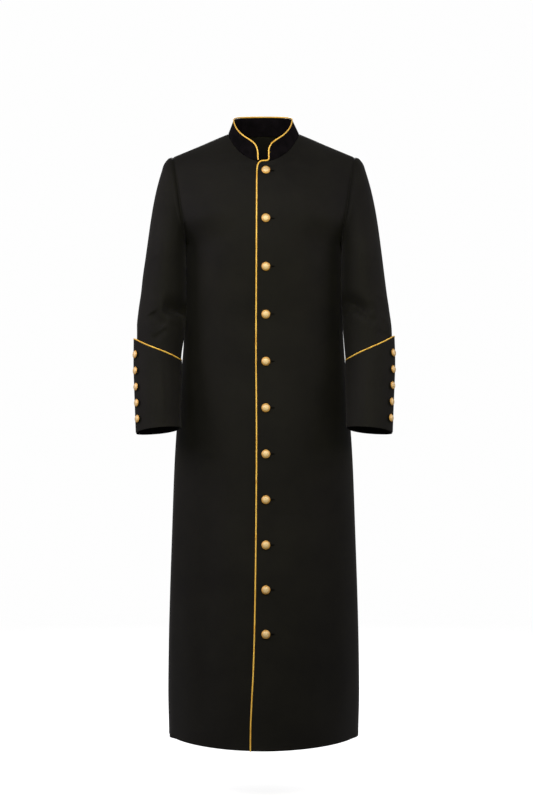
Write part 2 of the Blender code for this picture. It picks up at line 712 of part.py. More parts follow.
def add_cuff_piping(name, side):
    angle = np.linspace(PLACKET_ANGLE, PLACKET_ANGLE + CUFF_PIPING_RUN, CUFF_COLUMNS)
    path = cuff_point(side, 0.0, angle, np.full_like(angle, -CUFF_PIPING_INSET))
    path[:, 2] += PIPING_RADIUS + PIPING_GAP
    add_object(name, *tube(path, PIPING_RADIUS, PIPING_SIDES), "gold_cord")


def collar_angles():
    """Angles round the neck of the collar's columns on one side, centre front first."""
    front = [neck_angle("front", share) for share in ARMHOLE_SHARES["front"] if share > NECK_SHARE]
    back = [180 - neck_angle("back", share) for share in ARMHOLE_SHARES["back"]
            if share >= NECK_SHARE]
    return np.array(list(COLLAR_ANGLES) + front + back[-2::-1])


def neck_edge(panels, side):
    """Neckline points of one side's front and back panels, with their angles and directions."""
    front = panels["front_left" if side > 0 else "front_right"]
    back = panels["back_left" if side > 0 else "back_right"]
    first = len(SKIRT_DROPS) + ARMHOLE_SHARES["front"].index(NECK_SHARE)
    last = len(SKIRT_DROPS) + ARMHOLE_SHARES["back"].index(NECK_SHARE)
    points = np.concatenate([front["grid"][first:, 0], back["grid"][last:-1, 0][::-1]])
    normals = np.concatenate([front["grid_normals"][first:, 0],
                              back["grid_normals"][last:-1, 0][::-1]])
    angles = ([COLLAR_START_ANGLE]
              + [neck_angle("front", s) for s in ARMHOLE_SHARES["front"] if s > NECK_SHARE]
              + [180 - neck_angle("back", s) for s in ARMHOLE_SHARES["back"][-2::-1]
                 if s >= NECK_SHARE])
    along = np.gradient(points, axis=0)
    into_neck = unit(np.cross(along, normals))
    middle = np.array([0, (NECK_FRONT + NECK_BACK) / 2, INSIDE_NECK])
    into_neck *= np.sign(np.sum(into_neck * (middle - points), axis=1, keepdims=True))
    return np.array(angles), points, into_neck


def collar_grid(panels):
    """Rows of the collar from its seam up, right front end to left front end."""
    halves = []
    for side in (-1, 1):
        known, points, into_neck = neck_edge(panels, side)
        angle = collar_angles()
        base = np.stack([np.interp(angle, known, points[:, axis]) for axis in range(3)], axis=1)
        away = unit(np.stack([np.interp(angle, known, into_neck[:, axis]) for axis in range(3)],
                             axis=1))
        base = base + away * SEAM_GAP
        top = np.stack([side * read(COLLAR_TOP, "half_width", angle) + COLLAR_LEAN,
                        read(COLLAR_TOP, "depth", angle),
                        -read(COLLAR_TOP, "drop", angle)], axis=1)
        height = read(COLLAR_CORNER, "height", angle)[:, None]
        rows = [base + (top - base) * height * row / COLLAR_ROWS for row in range(COLLAR_ROWS + 1)]
        halves.append((np.array(rows), away))
    grid = np.concatenate([halves[0][0], halves[1][0][:, -2::-1]], axis=1)
    away = np.concatenate([halves[0][1], halves[1][1][-2::-1]])
    return grid, away


def add_collar(grid, away):
    points = grid.reshape(-1, 3)
    rows, columns = grid.shape[:2]
    quads = grid_faces(rows, columns, flip=True)
    inward = -point_normals(points, quads)
    inward[:columns] = keep_off(inward[:columns], away)
    walls, faces = cloth_wall(points, quads, inward * COLLAR_CLOTH)
    add_object("collar", walls, faces, "collar_cloth")


def edge_beside(edge, inner, distance):
    """Points set outside an edge of cloth by some distance."""
    along = np.gradient(edge, axis=0)
    away = edge - inner
    away -= along * (np.sum(away * along, axis=1) / np.sum(along * along, axis=1))[:, None]
    return edge + unit(away) * distance


def add_edge_piping(panels, collar):
    """One cord up the lapping edge, round its corner and along the collar's free edges."""
    beside = PIPING_RADIUS + PIPING_GAP
    lap = panels["front_left"]["grid"]
    last = len(SKIRT_DROPS) + ARMHOLE_SHARES["front"].index(NECK_SHARE)
    front = edge_beside(lap[:last + 1, 0], lap[:last + 1, 1], beside)[:-1]
    left_end = edge_beside(collar[:, -1], collar[:, -2], beside)
    right_end = edge_beside(collar[:, 0], collar[:, 1], beside)
    top = edge_beside(collar[-1, ::-1], collar[-2, ::-1], beside)
    path = np.concatenate([front, left_end[1:-1], top, right_end[-2:0:-1]])
    add_object("edge_piping", *tube(path, PIPING_RADIUS, PIPING_SIDES), "gold_cord")


def button_drops():
    """Drops of the front buttons, whose spacing shortens a little down the front."""
    number = np.arange(FRONT_BUTTONS)
    return (FIRST_BUTTON_DROP + number * BUTTON_STEP
            - number * (number - 1) / 2 * BUTTON_STEP_LOSS)


def add_front_buttons(left_front):
    """Buttons in a line down the lapping front, each on the cloth under it."""
    grid = left_front["grid"]
    normals = left_front["grid_normals"]
    for number, drop in enumerate(button_drops(), start=1):
        seat = None
        for row in range(grid.shape[0] - 1):
            low = column_at(grid[row], BUTTON_LINE_X)
            high = column_at(grid[row + 1], BUTTON_LINE_X)
            if low[2] <= -drop <= high[2]:
                share = (-drop - low[2]) / (high[2] - low[2])
                seat = low + (high - low) * share
                normal = normals[row, 1] * (1 - share) + normals[row + 1, 1] * share
        points, faces = turned(FRONT_BUTTON, FRONT_BUTTON_SIDES, seat, normal)
        add_object(f"button_front_{number:02d}", points, faces, "gold_metal")


def column_at(row, x):
    """The point of a row of points at an x near the centre."""
    return np.array([np.interp(x, row[:, 0], row[:, axis]) for axis in range(3)])


def add_cuff_buttons(label, side):
    shares = np.linspace(*CUFF_BUTTON_SHARES, CUFF_BUTTONS)
    angles = np.linspace(*CUFF_BUTTON_ANGLES, CUFF_BUTTONS)
    for number, (share, angle) in enumerate(zip(shares, angles), start=1):
        seat = cuff_point(side, share, angle)
        turn, down = CUFF_SLOPE_STEP
        round_cuff = cuff_point(side, share, angle + turn) - cuff_point(side, share, angle - turn)
        down_cuff = cuff_point(side, share + down, angle) - cuff_point(side, share - down, angle)
        axis = np.cross(round_cuff, down_cuff)
        axis *= np.sign(axis[0] * side)
        points, faces = turned(CUFF_BUTTON, CUFF_BUTTON_SIDES, seat, axis)
        add_object(f"button_cuff_{label}_{number}", points, faces, "gold_metal")


def add_body():
    """The two fronts and the back, and what the other pieces need to know of them."""
    grids = body_panels()
    panels = {}
    for name, grid in grids.items():
        faces_out = ("front" in name) == ("left" in name)
        quads = grid_faces(*grid.shape[:2], flip=not faces_out)
        points = grid.reshape(-1, 3)
        panels[name] = {"grid": grid, "points": points, "quads": quads,
                        "normals": point_normals(points, quads)}
    share_seam_normals([panels["front_left"], panels["back_left"]])
    share_seam_normals([panels["front_right"], panels["back_right"]])
    for panel in panels.values():
        panel["grid_normals"] = panel["normals"].reshape(panel["grid"].shape)
    for name in ("front_left", "front_right"):
        panel = panels[name]
        walls, faces = cloth_wall(panel["points"], panel["quads"], -panel["normals"] * CLOTH)
        add_object(name, walls, faces, "wool")
    left, right = panels["back_left"], panels["back_right"]
    count = len(left["points"])
    points = np.concatenate([left["points"], right["points"]])
    inward = -np.concatenate([left["normals"], right["normals"]])
    centre = np.abs(points[:, 0]) < WELD_STEP
    inward[centre, 0] = 0
    quads = np.concatenate([left["quads"], right["quads"] + count])
    both, quads = welded(np.concatenate([points, unit(inward)], axis=1), quads)
    walls, faces = cloth_wall(both[:, :3], quads, both[:, 3:] * CLOTH)
    add_object("back", walls, faces, "wool")
    return panels


def make_finishes():
    """One Principled material for each finish."""
    made = {}
    for name, (colour, roughness, metallic) in FINISHES.items():
        material = bpy.data.materials.new(name)
        material.use_nodes = True
        shader = material.node_tree.nodes["Principled BSDF"]
        shader.inputs["Base Color"].default_value = colour
        shader.inputs["Roughness"].default_value = roughness
        shader.inputs["Metallic"].default_value = metallic
        made[name] = material
    return made


for leftover in list(bpy.data.objects):
    bpy.data.objects.remove(leftover, do_unlink=True)
FINISH_MATERIALS = make_finishes()
body = add_body()
for label, side in (("left", 1), ("right", -1)):
    add_sleeve(f"sleeve_{label}", side, body)
    add_cuff(f"cuff_{label}", side)
    add_cuff_piping(f"cuff_piping_{label}", side)
    add_cuff_buttons(label, side)
collar_points, collar_away = collar_grid(body)
add_collar(collar_points, collar_away)
add_edge_piping(body, collar_points)
add_front_buttons(body["front_left"])
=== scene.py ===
import math

import bmesh
import bpy
import numpy as np
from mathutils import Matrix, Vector


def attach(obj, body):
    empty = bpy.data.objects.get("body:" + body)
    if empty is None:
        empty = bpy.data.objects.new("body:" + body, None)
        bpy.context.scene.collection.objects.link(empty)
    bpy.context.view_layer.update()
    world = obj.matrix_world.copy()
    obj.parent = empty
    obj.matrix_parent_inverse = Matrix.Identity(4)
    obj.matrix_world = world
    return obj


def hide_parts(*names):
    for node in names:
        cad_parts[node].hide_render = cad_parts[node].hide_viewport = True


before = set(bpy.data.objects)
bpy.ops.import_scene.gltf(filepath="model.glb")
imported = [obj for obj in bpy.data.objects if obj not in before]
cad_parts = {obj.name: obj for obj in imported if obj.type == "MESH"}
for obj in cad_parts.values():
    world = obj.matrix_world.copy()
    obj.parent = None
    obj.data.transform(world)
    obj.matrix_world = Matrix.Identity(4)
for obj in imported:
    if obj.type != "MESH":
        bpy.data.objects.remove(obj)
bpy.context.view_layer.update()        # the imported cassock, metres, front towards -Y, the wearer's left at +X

print("frame loaded,", len(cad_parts), "nodes")


# a chart is rows of numbers under named columns, kept as one array for each column
def chart(columns, *rows):
    return dict(zip(columns.split(), np.array(rows, dtype=float).T))


# a cubic from a to b as t goes from 0 to 1, with its slopes at both ends
def cubic(t, a, b, leave, arrive):
    return ((1 + 2 * t) * (1 - t) ** 2 * a + t * t * (3 - 2 * t) * b
            + t * (1 - t) ** 2 * leave + t * t * (t - 1) * arrive)


# the row of a rising key that each place follows, the span to the next row and the share of it
def placeIn(key, where):
    row = np.clip(np.searchsorted(key, where, side="right") - 1, 0, len(key) - 2)
    span = key[row + 1] - key[row]
    return row, span, (where - key[row]) / span


# a smooth curve through a chart's rows that never swings past them: cubic pieces whose slope at
# a row is the weighted harmonic mean of the slopes either side, or 0 at a turning point. The
# chart's first column is what it is read by
def readChart(lines, column, where):
    key, value = next(iter(lines.values())), lines[column]
    step = np.diff(key)
    rise = np.diff(value) / step
    early, late = 2 * step[1:] + step[:-1], step[1:] + 2 * step[:-1]
    sameWay = rise[:-1] * rise[1:] > 0
    parts = early / np.where(sameWay, rise[:-1], 1) + late / np.where(sameWay, rise[1:], 1)
    slope = np.concatenate([rise[:1], np.where(sameWay, (early + late) / parts, 0), rise[-1:]])
    row, span, t = placeIn(key, np.clip(where, key[0], key[-1]))
    return cubic(t, value[row], value[row + 1], span * slope[row], span * slope[row + 1])


def readColumns(lines, columns, where):
    return [readChart(lines, column, where) for column in columns.split()]


# rises smoothly from 0 to 1 as t does
def ease(t):
    t = np.clip(t, 0, 1)
    return t * t * (3 - 2 * t)


# 1 where the distance is 0, falling away on both sides as exp(-(distance / width) squared)
def hump(distance, width):
    return np.exp(-(distance / width) ** 2)


def unit(vectors):
    return vectors / np.maximum(np.linalg.norm(vectors, axis=-1, keepdims=True), 1e-12)


# what is left of vectors square to a direction, made one long
def squareTo(along, vectors):
    return unit(vectors - along * np.sum(vectors * along, axis=-1, keepdims=True))


def stackXyz(x, y, z):
    return np.stack(np.broadcast_arrays(x, y, z), axis=-1).astype(float)


# points of cubic curves, each with its own four controls and its own t
def curveAt(controls, t):
    t = np.asarray(t)[..., None]
    a, b, c, d = (controls[..., n, :] for n in range(4))
    return (1 - t) ** 3 * a + 3 * t * (1 - t) ** 2 * b + 3 * t * t * (1 - t) * c + t ** 3 * d


# the last three controls of each curve's stretch from its start to t
def curveCut(controls, t):
    a, b, c, d = (controls[..., n, :] for n in range(4))
    ab, bc, cd = a + (b - a) * t, b + (c - b) * t, c + (d - c) * t
    abc, bcd = ab + (bc - ab) * t, bc + (cd - bc) * t
    return ab, abc, abc + (bcd - abc) * t


# the t at which each curve reaches a value along an axis, by halving the stretch that holds it
def curveReach(controls, axis, target, rising=1, halvings=36):
    low, high = np.zeros_like(target), np.ones_like(target)
    for halving in range(halvings):
        middle = (low + high) / 2
        past = (curveAt(controls, middle)[..., axis] - target) * rising > 0
        low, high = np.where(past, low, middle), np.where(past, middle, high)
    return (low + high) / 2


# length from the first point of a line, or of each of a grid's lines
def lengthAlong(grid, axis=0):
    steps = np.linalg.norm(np.diff(grid, axis=axis), axis=-1)
    return np.cumsum(np.insert(steps, 0, 0, axis=axis), axis=axis)


# distance along each grid line from its two ends
def fromEnds(grid, axis):
    first = lengthAlong(grid, axis)
    return first, np.take(first, [-1], axis=axis) - first


# a line, or values that go with its points, read at evenly spaced places along it
def evenly(line, count, values=None):
    length = lengthAlong(line)
    where = np.linspace(0, length[-1], count)
    values = line if values is None else values
    return np.stack([np.interp(where, length, column) for column in values.T], axis=1)


# how a line's or grid's points go on in one direction, which may close on itself
def onwards(grid, axis=0, around=False):
    if around:
        return np.roll(grid, -1, axis=axis) - np.roll(grid, 1, axis=axis)
    return np.gradient(grid, axis=axis)


# normals of a grid of points, from the cross product of its two directions
def gridNormals(grid, around=False):
    return unit(np.cross(onwards(grid, 1, around), onwards(grid)))


# each inner point moves towards the mean of its four neighbours, a few times over
def relaxed(grid, times, around=False):
    grid = grid.copy()
    inner = grid[1:-1] if around else grid[1:-1, 1:-1]
    for turn in range(times):
        if around:
            nextTo = np.roll(inner, 1, axis=1) + np.roll(inner, -1, axis=1)
            mean = (grid[:-2] + grid[2:] + nextTo) / 4
        else:
            mean = (grid[:-2, 1:-1] + grid[2:, 1:-1] + grid[1:-1, :-2] + grid[1:-1, 2:]) / 4
        inner += 0.5 * (mean - inner)
    return grid


# height of creases at flat places (a, b). A crease is a row: three places on its path, its half
# width, its height, which is below 0 for a trough, and for some two values more. The path curves
# through its places, and the height falls off as exp(-(distance / width) squared) and towards
# both ends. The values more are the half width on the side to the right of the path, where b
# grows, and how gently the ends fade: 0.5 is blunt and 2 is soft. The scale turns the path's own
# units into those of a and b
def foldHeight(a, b, folds, scale=(1, 1)):
    places = np.stack(np.broadcast_arrays(a, b), axis=-1)[..., None, :]
    height = np.zeros(places.shape[:-2])
    stretches, bluntEnds = 12, 0.5
    s = np.linspace(0, 1, stretches + 1)[:, None]
    for first, middle, last, wide, high, *more in folds:
        below, taper = more or (wide, bluntEnds)
        first, middle, last = (np.array(place) * scale for place in (first, middle, last))
        pull = 2 * middle - (first + last) / 2
        path = (1 - s) ** 2 * first + 2 * s * (1 - s) * pull + s * s * last
        start, step = path[:-1], np.diff(path, axis=0)
        along = np.sum((places - start) * step, axis=-1) / np.sum(step * step, axis=-1)
        along = np.clip(along, 0, 1)
        offset = places - start - along[..., None] * step
        apart = np.linalg.norm(offset, axis=-1)
        turned = step[..., 0] * offset[..., 1] - step[..., 1] * offset[..., 0]
        nearest = np.argmin(apart, axis=-1)[..., None]
        apart, turned, along = (np.take_along_axis(values, nearest, -1)[..., 0]
                                for values in (apart, turned, along))
        fromStart = (nearest[..., 0] + along) / stretches
        ends = np.clip(1 - (2 * fromStart - 1) ** 4, 0, 1) ** taper
        height += high * hump(apart, np.where(turned > 0, below, wide)) * ends
    return height


# parts are points, faces and a flat place for each corner of a face
def addMesh(name, parts, material):
    points, faces, flat = parts
    mesh = bpy.data.meshes.new(name + "_mesh")
    mesh.from_pydata(points.reshape(-1, 3), [], faces)
    mesh.uv_layers.new(name="flat").data.foreach_set("uv", flat.astype(np.float32).ravel())
    mesh.materials.append(material)
    mesh.shade_smooth()
    piece = bpy.data.objects.new("made_" + name, mesh)
    bpy.context.scene.collection.objects.link(piece)
    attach(piece, "root")
    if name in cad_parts:
        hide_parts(name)
    return piece


# the number of each point of a grid
def gridIndex(grid):
    return np.arange(grid.shape[0] * grid.shape[1]).reshape(grid.shape[:2])


# a grid or line with its first points again at its end
def closedRound(grid, axis=1):
    return np.concatenate([grid, np.take(grid, [0], axis=axis)], axis=axis)


# four point numbers for each cell of a grid of them
def gridQuads(index, flip=False):
    four = [index[:-1, :-1], index[:-1, 1:], index[1:, 1:], index[1:, :-1]]
    return np.stack(four[::-1] if flip else four, axis=-1).reshape(-1, 4)


# the flat place of each corner of each quad
def cornerPlaces(flat, flip=False):
    return flat.reshape(-1, 2)[gridQuads(gridIndex(flat), flip).ravel()]


rimShares = np.array([0.1, 0.35, 0.68, 1.0])


# extra lines close inside the grid's free edges, so that the rim can be rounded: at shares of the
# wall's half thickness, or closer where the first cell is too narrow for them
def edgeLines(values, grid, axis, half):
    values, grid = np.moveaxis(values, axis, 0), np.moveaxis(grid, axis, 0)
    for turn in range(2):
        cell = np.linalg.norm(grid[1] - grid[0], axis=-1)
        inCell = np.minimum(half / np.maximum(cell, 1e-9), 0.9) * rimShares[:, None]
        extra = values[0] + (values[1] - values[0]) * inCell[..., None]
        values = np.concatenate([values[:1], extra, values[1:]])[::-1]
        grid = grid[::-1]
    return np.moveaxis(values, 0, axis)


# flat places of a grid's points, in metres of cloth along each direction
def flatPlaces(grid, around):
    closed = closedRound(grid) if around else grid
    across = lengthAlong(closed, 1)
    middle = closed.shape[1] // 2
    across = across - across[:, middle:middle + 1]
    along = lengthAlong(closed).mean(axis=1, keepdims=True) + 0 * across
    return np.stack([across, along], axis=-1)


# a closed wall from its outer face: both faces stand half the thickness off the middle one, and
# come together at the free edges along a quarter circle, height = sqrt(1 - (1 - s)^2). A hem
# turned up inside makes the first rows thicker. A first column that isn't a free edge stays
# open, for the other half to join
def shellParts(grid, wall, around=False, flip=False, freeEdge=None, turnUp=0.0, normals=None):
    half = wall / 2
    if normals is None:
        normals = gridNormals(grid, around) * (-1 if flip else 1)
    both = edgeLines(np.concatenate([grid, normals], axis=-1), grid, 0, half)
    if not around:
        both = edgeLines(both, both[..., :3], 1, half)
    grid, normals = both[..., :3], unit(both[..., 3:])
    firstRow, lastRow = fromEnds(grid, 0)
    near = np.minimum(firstRow, lastRow)
    rim = np.zeros(near.shape, dtype=bool)
    rim[[0, -1]] = True
    if not around:
        firstColumn, lastColumn = fromEnds(grid, 1)
        free = np.ones(len(grid), dtype=bool) if freeEdge is None else freeEdge(grid)
        nearest = np.where(free[:, None], np.minimum(firstColumn, lastColumn), lastColumn)
        near = np.minimum(near, nearest)
        rim[:, -1] = True
        rim[free, 0] = True
    height = half * np.sqrt(1 - (1 - np.clip(near / half, 0, 1)) ** 2)
    turnedUp = body["hemThicker"] * ease((turnUp - firstRow) / body["hemFade"]) if turnUp else 0
    middle = grid - normals * half
    outer = middle + normals * height[..., None]
    deeper = height + turnedUp * (height > 0)
    inner = middle - normals * deeper[..., None]
    outerIndex = gridIndex(grid)
    innerIndex = outerIndex.copy()
    innerIndex[~rim] = rim.size + np.arange(np.count_nonzero(~rim))
    points = np.concatenate([outer.reshape(-1, 3), inner[~rim]])
    flat = flatPlaces(grid, around)
    quads, corners = [], []
    for index, way in ((outerIndex, flip), (innerIndex, not flip)):
        quads.append(gridQuads(closedRound(index) if around else index, way))
        corners.append(cornerPlaces(flat, way))
    return points, np.concatenate(quads), np.concatenate(corners)


# several closed walls put together in one mesh
def joined(*walls):
    first = np.cumsum([0] + [len(wall[0]) for wall in walls])
    return (np.concatenate([wall[0] for wall in walls]),
            np.concatenate([wall[1] + start for wall, start in zip(walls, first)]),
            np.concatenate([wall[2] for wall in walls]))


# a mesh made whole: points nearer than 'apart' made one, faces that lose their area dropped and
# open ends filled; a plain solid's faces are turned outwards, which a thin wall's must not be
def closeMesh(piece, apart=0.0, solid=True):
    work = bmesh.new()
    work.from_mesh(piece.data)
    if apart:
        bmesh.ops.remove_doubles(work, verts=work.verts, dist=apart)
        bmesh.ops.dissolve_degenerate(work, edges=work.edges, dist=apart / 10)
    loops = [edge for edge in work.edges if edge.is_boundary]
    if loops:
        bmesh.ops.holes_fill(work, edges=loops)
    if solid:
        bmesh.ops.recalc_face_normals(work, faces=work.faces)
    work.to_mesh(piece.data)
    work.free()


# a tube: rings of a profile round a path, the profile's 0 pointing along 'towards'
def tubeParts(path, towards, profile, closed=False):
    along = unit(onwards(path, 0, closed))
    towards = squareTo(along, towards)
    other = np.cross(along, towards)
    points = path[:, None] + profile[:, :1] * towards[:, None] + profile[:, 1:] * other[:, None]
    index = closedRound(gridIndex(points))
    length = lengthAlong(path)
    if closed:
        index = closedRound(index, 0)
        length = np.append(length, length[-1] + np.linalg.norm(path[0] - path[-1]))
    girth = 2 * math.pi * np.linalg.norm(profile, axis=1).mean()
    flat = np.meshgrid(length, np.linspace(0, girth, index.shape[1]), indexing="ij")
    return points, gridQuads(index), cornerPlaces(np.stack(flat, axis=-1))


# across and up, evenly round a circle with a radius of 1
def circle(count):
    turn = np.linspace(0, 2 * math.pi, count, endpoint=False)
    return np.cos(turn), np.sin(turn)


# a node with its inputs, each a value or another node's output, and its own settings
def addNode(tree, kind, inputs={}, **settings):
    node = tree.nodes.new("ShaderNode" + kind)
    for key, value in settings.items():
        setattr(node, key, value)
    setInputs(tree, node, inputs)
    return node


def setInputs(tree, node, inputs):
    for key, value in inputs.items():
        if isinstance(value, bpy.types.NodeSocket):
            tree.links.new(value, node.inputs[key])
        else:
            node.inputs[key].default_value = value


surfaceInputs = {
    "roughness": "Roughness",
    "specular": "Specular IOR Level",
    "sheen": "Sheen Weight",
    "sheenRoughness": "Sheen Roughness",
    "metallic": "Metallic",
}


# a material whose shader has the finish's plain values
def newMaterial(name, finish):
    material = bpy.data.materials.new(name)
    material.use_nodes = True
    tree = material.node_tree
    shader = tree.nodes["Principled BSDF"]
    plain = {surfaceInputs[key]: finish[key] for key in surfaceInputs if key in finish}
    setInputs(tree, shader, plain)
    return material, tree, shader


# cloudy noise in the piece's own space
def noise(tree, scale, detail, roughness=0.5):
    coords = addNode(tree, "TexCoord")
    inputs = {"Vector": coords.outputs["Object"], "Scale": scale, "Detail": detail,
              "Roughness": roughness}
    return addNode(tree, "TexNoise", inputs).outputs["Fac"]


# ridges across the piece's own flat map, a step in metres apart and leaning by some degrees
def ridges(tree, step, lean, distortion, detail, detailScale=1.0):
    metresAtOne = 0.314      # between ridges, at a scale of 1
    coords = addNode(tree, "TexCoord")
    leaning = addNode(tree, "Mapping", {"Vector": coords.outputs["UV"],
                                        "Rotation": (0, 0, math.radians(lean))})
    inputs = {"Vector": leaning.outputs["Vector"], "Scale": metresAtOne / step,
              "Distortion": distortion, "Detail": detail, "Detail Scale": detailScale}
    return addNode(tree, "TexWave", inputs).outputs["Fac"]


# a times its share, and b
def blend(tree, a, share, b):
    return addNode(tree, "Math", {0: a, 1: share, 2: b}, operation="MULTIPLY_ADD").outputs[0]


# the finish's deep colour up to one value, and its light colour from another
def colours(tree, value, finish, deepTo, lightFrom):
    ramp = addNode(tree, "ValToRGB", {"Fac": value})
    deep, light = ramp.color_ramp.elements
    deep.position, deep.color = deepTo, finish["deep"]
    light.position, light.color = lightFrom, finish["light"]
    return ramp.outputs["Color"]


# relief, its height in metres
def bump(tree, height, strength, distance):
    inputs = {"Height": height, "Strength": strength, "Distance": distance}
    return addNode(tree, "Bump", inputs).outputs["Normal"]


woolFinish = {
    "deep": (0.0027, 0.0026, 0.0016, 1),
    "light": (0.0052, 0.0050, 0.0031, 1),
    "roughness": 0.72,
    "specular": 0.08,
    "sheen": 0.022,
    "sheenRoughness": 0.45,
    "twillStep": 0.0011,         # metres between the twill's ridges
    "twillHeight": 0.00006,
}


# black wool: a fine diagonal twill on the cloth's own flat map, a soft nap, and slow drifts of
# depth in its black
def makeWool(name, finish):
    material, tree, shader = newMaterial(name, finish)
    drifts = noise(tree, scale=9, detail=4, roughness=0.6)
    nap = noise(tree, scale=420, detail=3, roughness=0.65)
    twill = ridges(tree, finish["twillStep"], lean=28, distortion=1.6, detail=2, detailScale=1.5)
    depth = blend(tree, nap, 0.55, drifts)
    rise = blend(tree, nap, 0.8, twill)
    setInputs(tree, shader, {
        "Base Color": colours(tree, depth, finish, deepTo=0.55, lightFrom=1.0),
        "Normal": bump(tree, rise, strength=0.35, distance=finish["twillHeight"])})
    return material


velvetFinish = {
    "deep": (0.0010, 0.0008, 0.0009, 1),
    "light": (0.0032, 0.0024, 0.0030, 1),
    "roughness": 0.9,
    "specular": 0.04,
    "sheen": 0.014,
    "sheenRoughness": 0.30,
    "pileHeight": 0.00012,
}


# velvet: a very deep black, brushed patches of nap and a short pile
def makeVelvet(name, finish):
    material, tree, shader = newMaterial(name, finish)
    brushed = noise(tree, scale=55, detail=3, roughness=0.55)
    pile = noise(tree, scale=1400, detail=2)
    setInputs(tree, shader, {
        "Base Color": colours(tree, brushed, finish, deepTo=0.35, lightFrom=0.75),
        "Normal": bump(tree, pile, strength=0.4, distance=finish["pileHeight"])})
    return material


cordFinish = {
    "deep": (0.43, 0.195, 0.007, 1),
    "light": (0.66, 0.425, 0.070, 1),
    "roughness": 0.48,
    "specular": 0.25,
    "metallic": 0.12,
    "wrapStep": 0.0007,
    "wrapHeight": 0.0001,
}


# satin-covered cord: fine wraps lean round it on its own flat map
def makeCord(name, finish):
    material, tree, shader = newMaterial(name, finish)
    wraps = ridges(tree, finish["wrapStep"], lean=34, distortion=0.8, detail=1.5)
    shade = blend(tree, wraps, 0.30, noise(tree, scale=60, detail=2))
    setInputs(tree, shader, {
        "Base Color": colours(tree, shade, finish, deepTo=0.30, lightFrom=0.75),
        "Normal": bump(tree, wraps, strength=0.5, distance=finish["wrapHeight"])})
    return material


metalFinish = {
    "deep": (0.40, 0.205, 0.024, 1),      # at the rim, painted shade
    "light": (0.51, 0.375, 0.170, 1),     # on the crown's middle, a painted highlight
    "roughnessRange": (0.44, 0.60),
    "metallic": 0.25,
    "mottleHeight": 0.00005,
    "paintedRimShadeFrom": 0.0094,           # distances from the middle: deep gold, painted shade, outside this one and pale gold, a painted highlight, inside this one
    "paintedHighlightTo": 0.0042,            # and worn gold inside this one
}


# satin gold, a little mottled: paler towards the crown's middle as a painted highlight, and deeper towards the
# rim as painted shade. The button's own flat map is centred on its middle, in metres
def makeMetal(name, finish):
    material, tree, shader = newMaterial(name, finish)
    mottle = noise(tree, scale=260, detail=3, roughness=0.6)
    # pale crown and deep rim by distance from the button's middle: a painted highlight and painted shade
    coords = addNode(tree, "TexCoord")
    away = addNode(tree, "VectorMath", {0: coords.outputs["UV"]}, operation="LENGTH")
    paintedCrownLight = addNode(tree, "MapRange", {"Value": away.outputs["Value"], "From Min": finish["paintedRimShadeFrom"],
                                      "From Max": finish["paintedHighlightTo"]},
                   interpolation_type="SMOOTHSTEP")
    shade = blend(tree, mottle, 0.30, paintedCrownLight.outputs["Result"])
    smoother, rougher = finish["roughnessRange"]
    rough = addNode(tree, "MapRange", {"Value": mottle, "To Min": smoother, "To Max": rougher})
    setInputs(tree, shader, {
        "Base Color": colours(tree, shade, finish, deepTo=0.12, lightFrom=1.0),
        "Roughness": rough.outputs["Result"],
        "Normal": bump(tree, mottle, strength=0.25, distance=finish["mottleHeight"])})
    return material


wool = makeWool("black_wool_twill", woolFinish)
velvet = makeVelvet("black_velvet", velvetFinish)
goldCord = makeCord("gold_satin_cord", cordFinish)
goldMetal = makeMetal("satin_gold_metal", metalFinish)
# near-black buttonhole thread, darker than the wool: partly the thread's own black and partly painted shade of
# the slot it rings
threadAndSlotShadeFinish = dict(woolFinish, deep=(0.0004, 0.0004, 0.0004, 1), light=(0.0010, 0.0010, 0.0010, 1),
                    sheen=0.0, specular=0.02, twillStep=0.0006)
threadWithSlotShade = makeWool("buttonhole_thread_and_slot_shade", threadAndSlotShadeFinish)
print("finishes made")


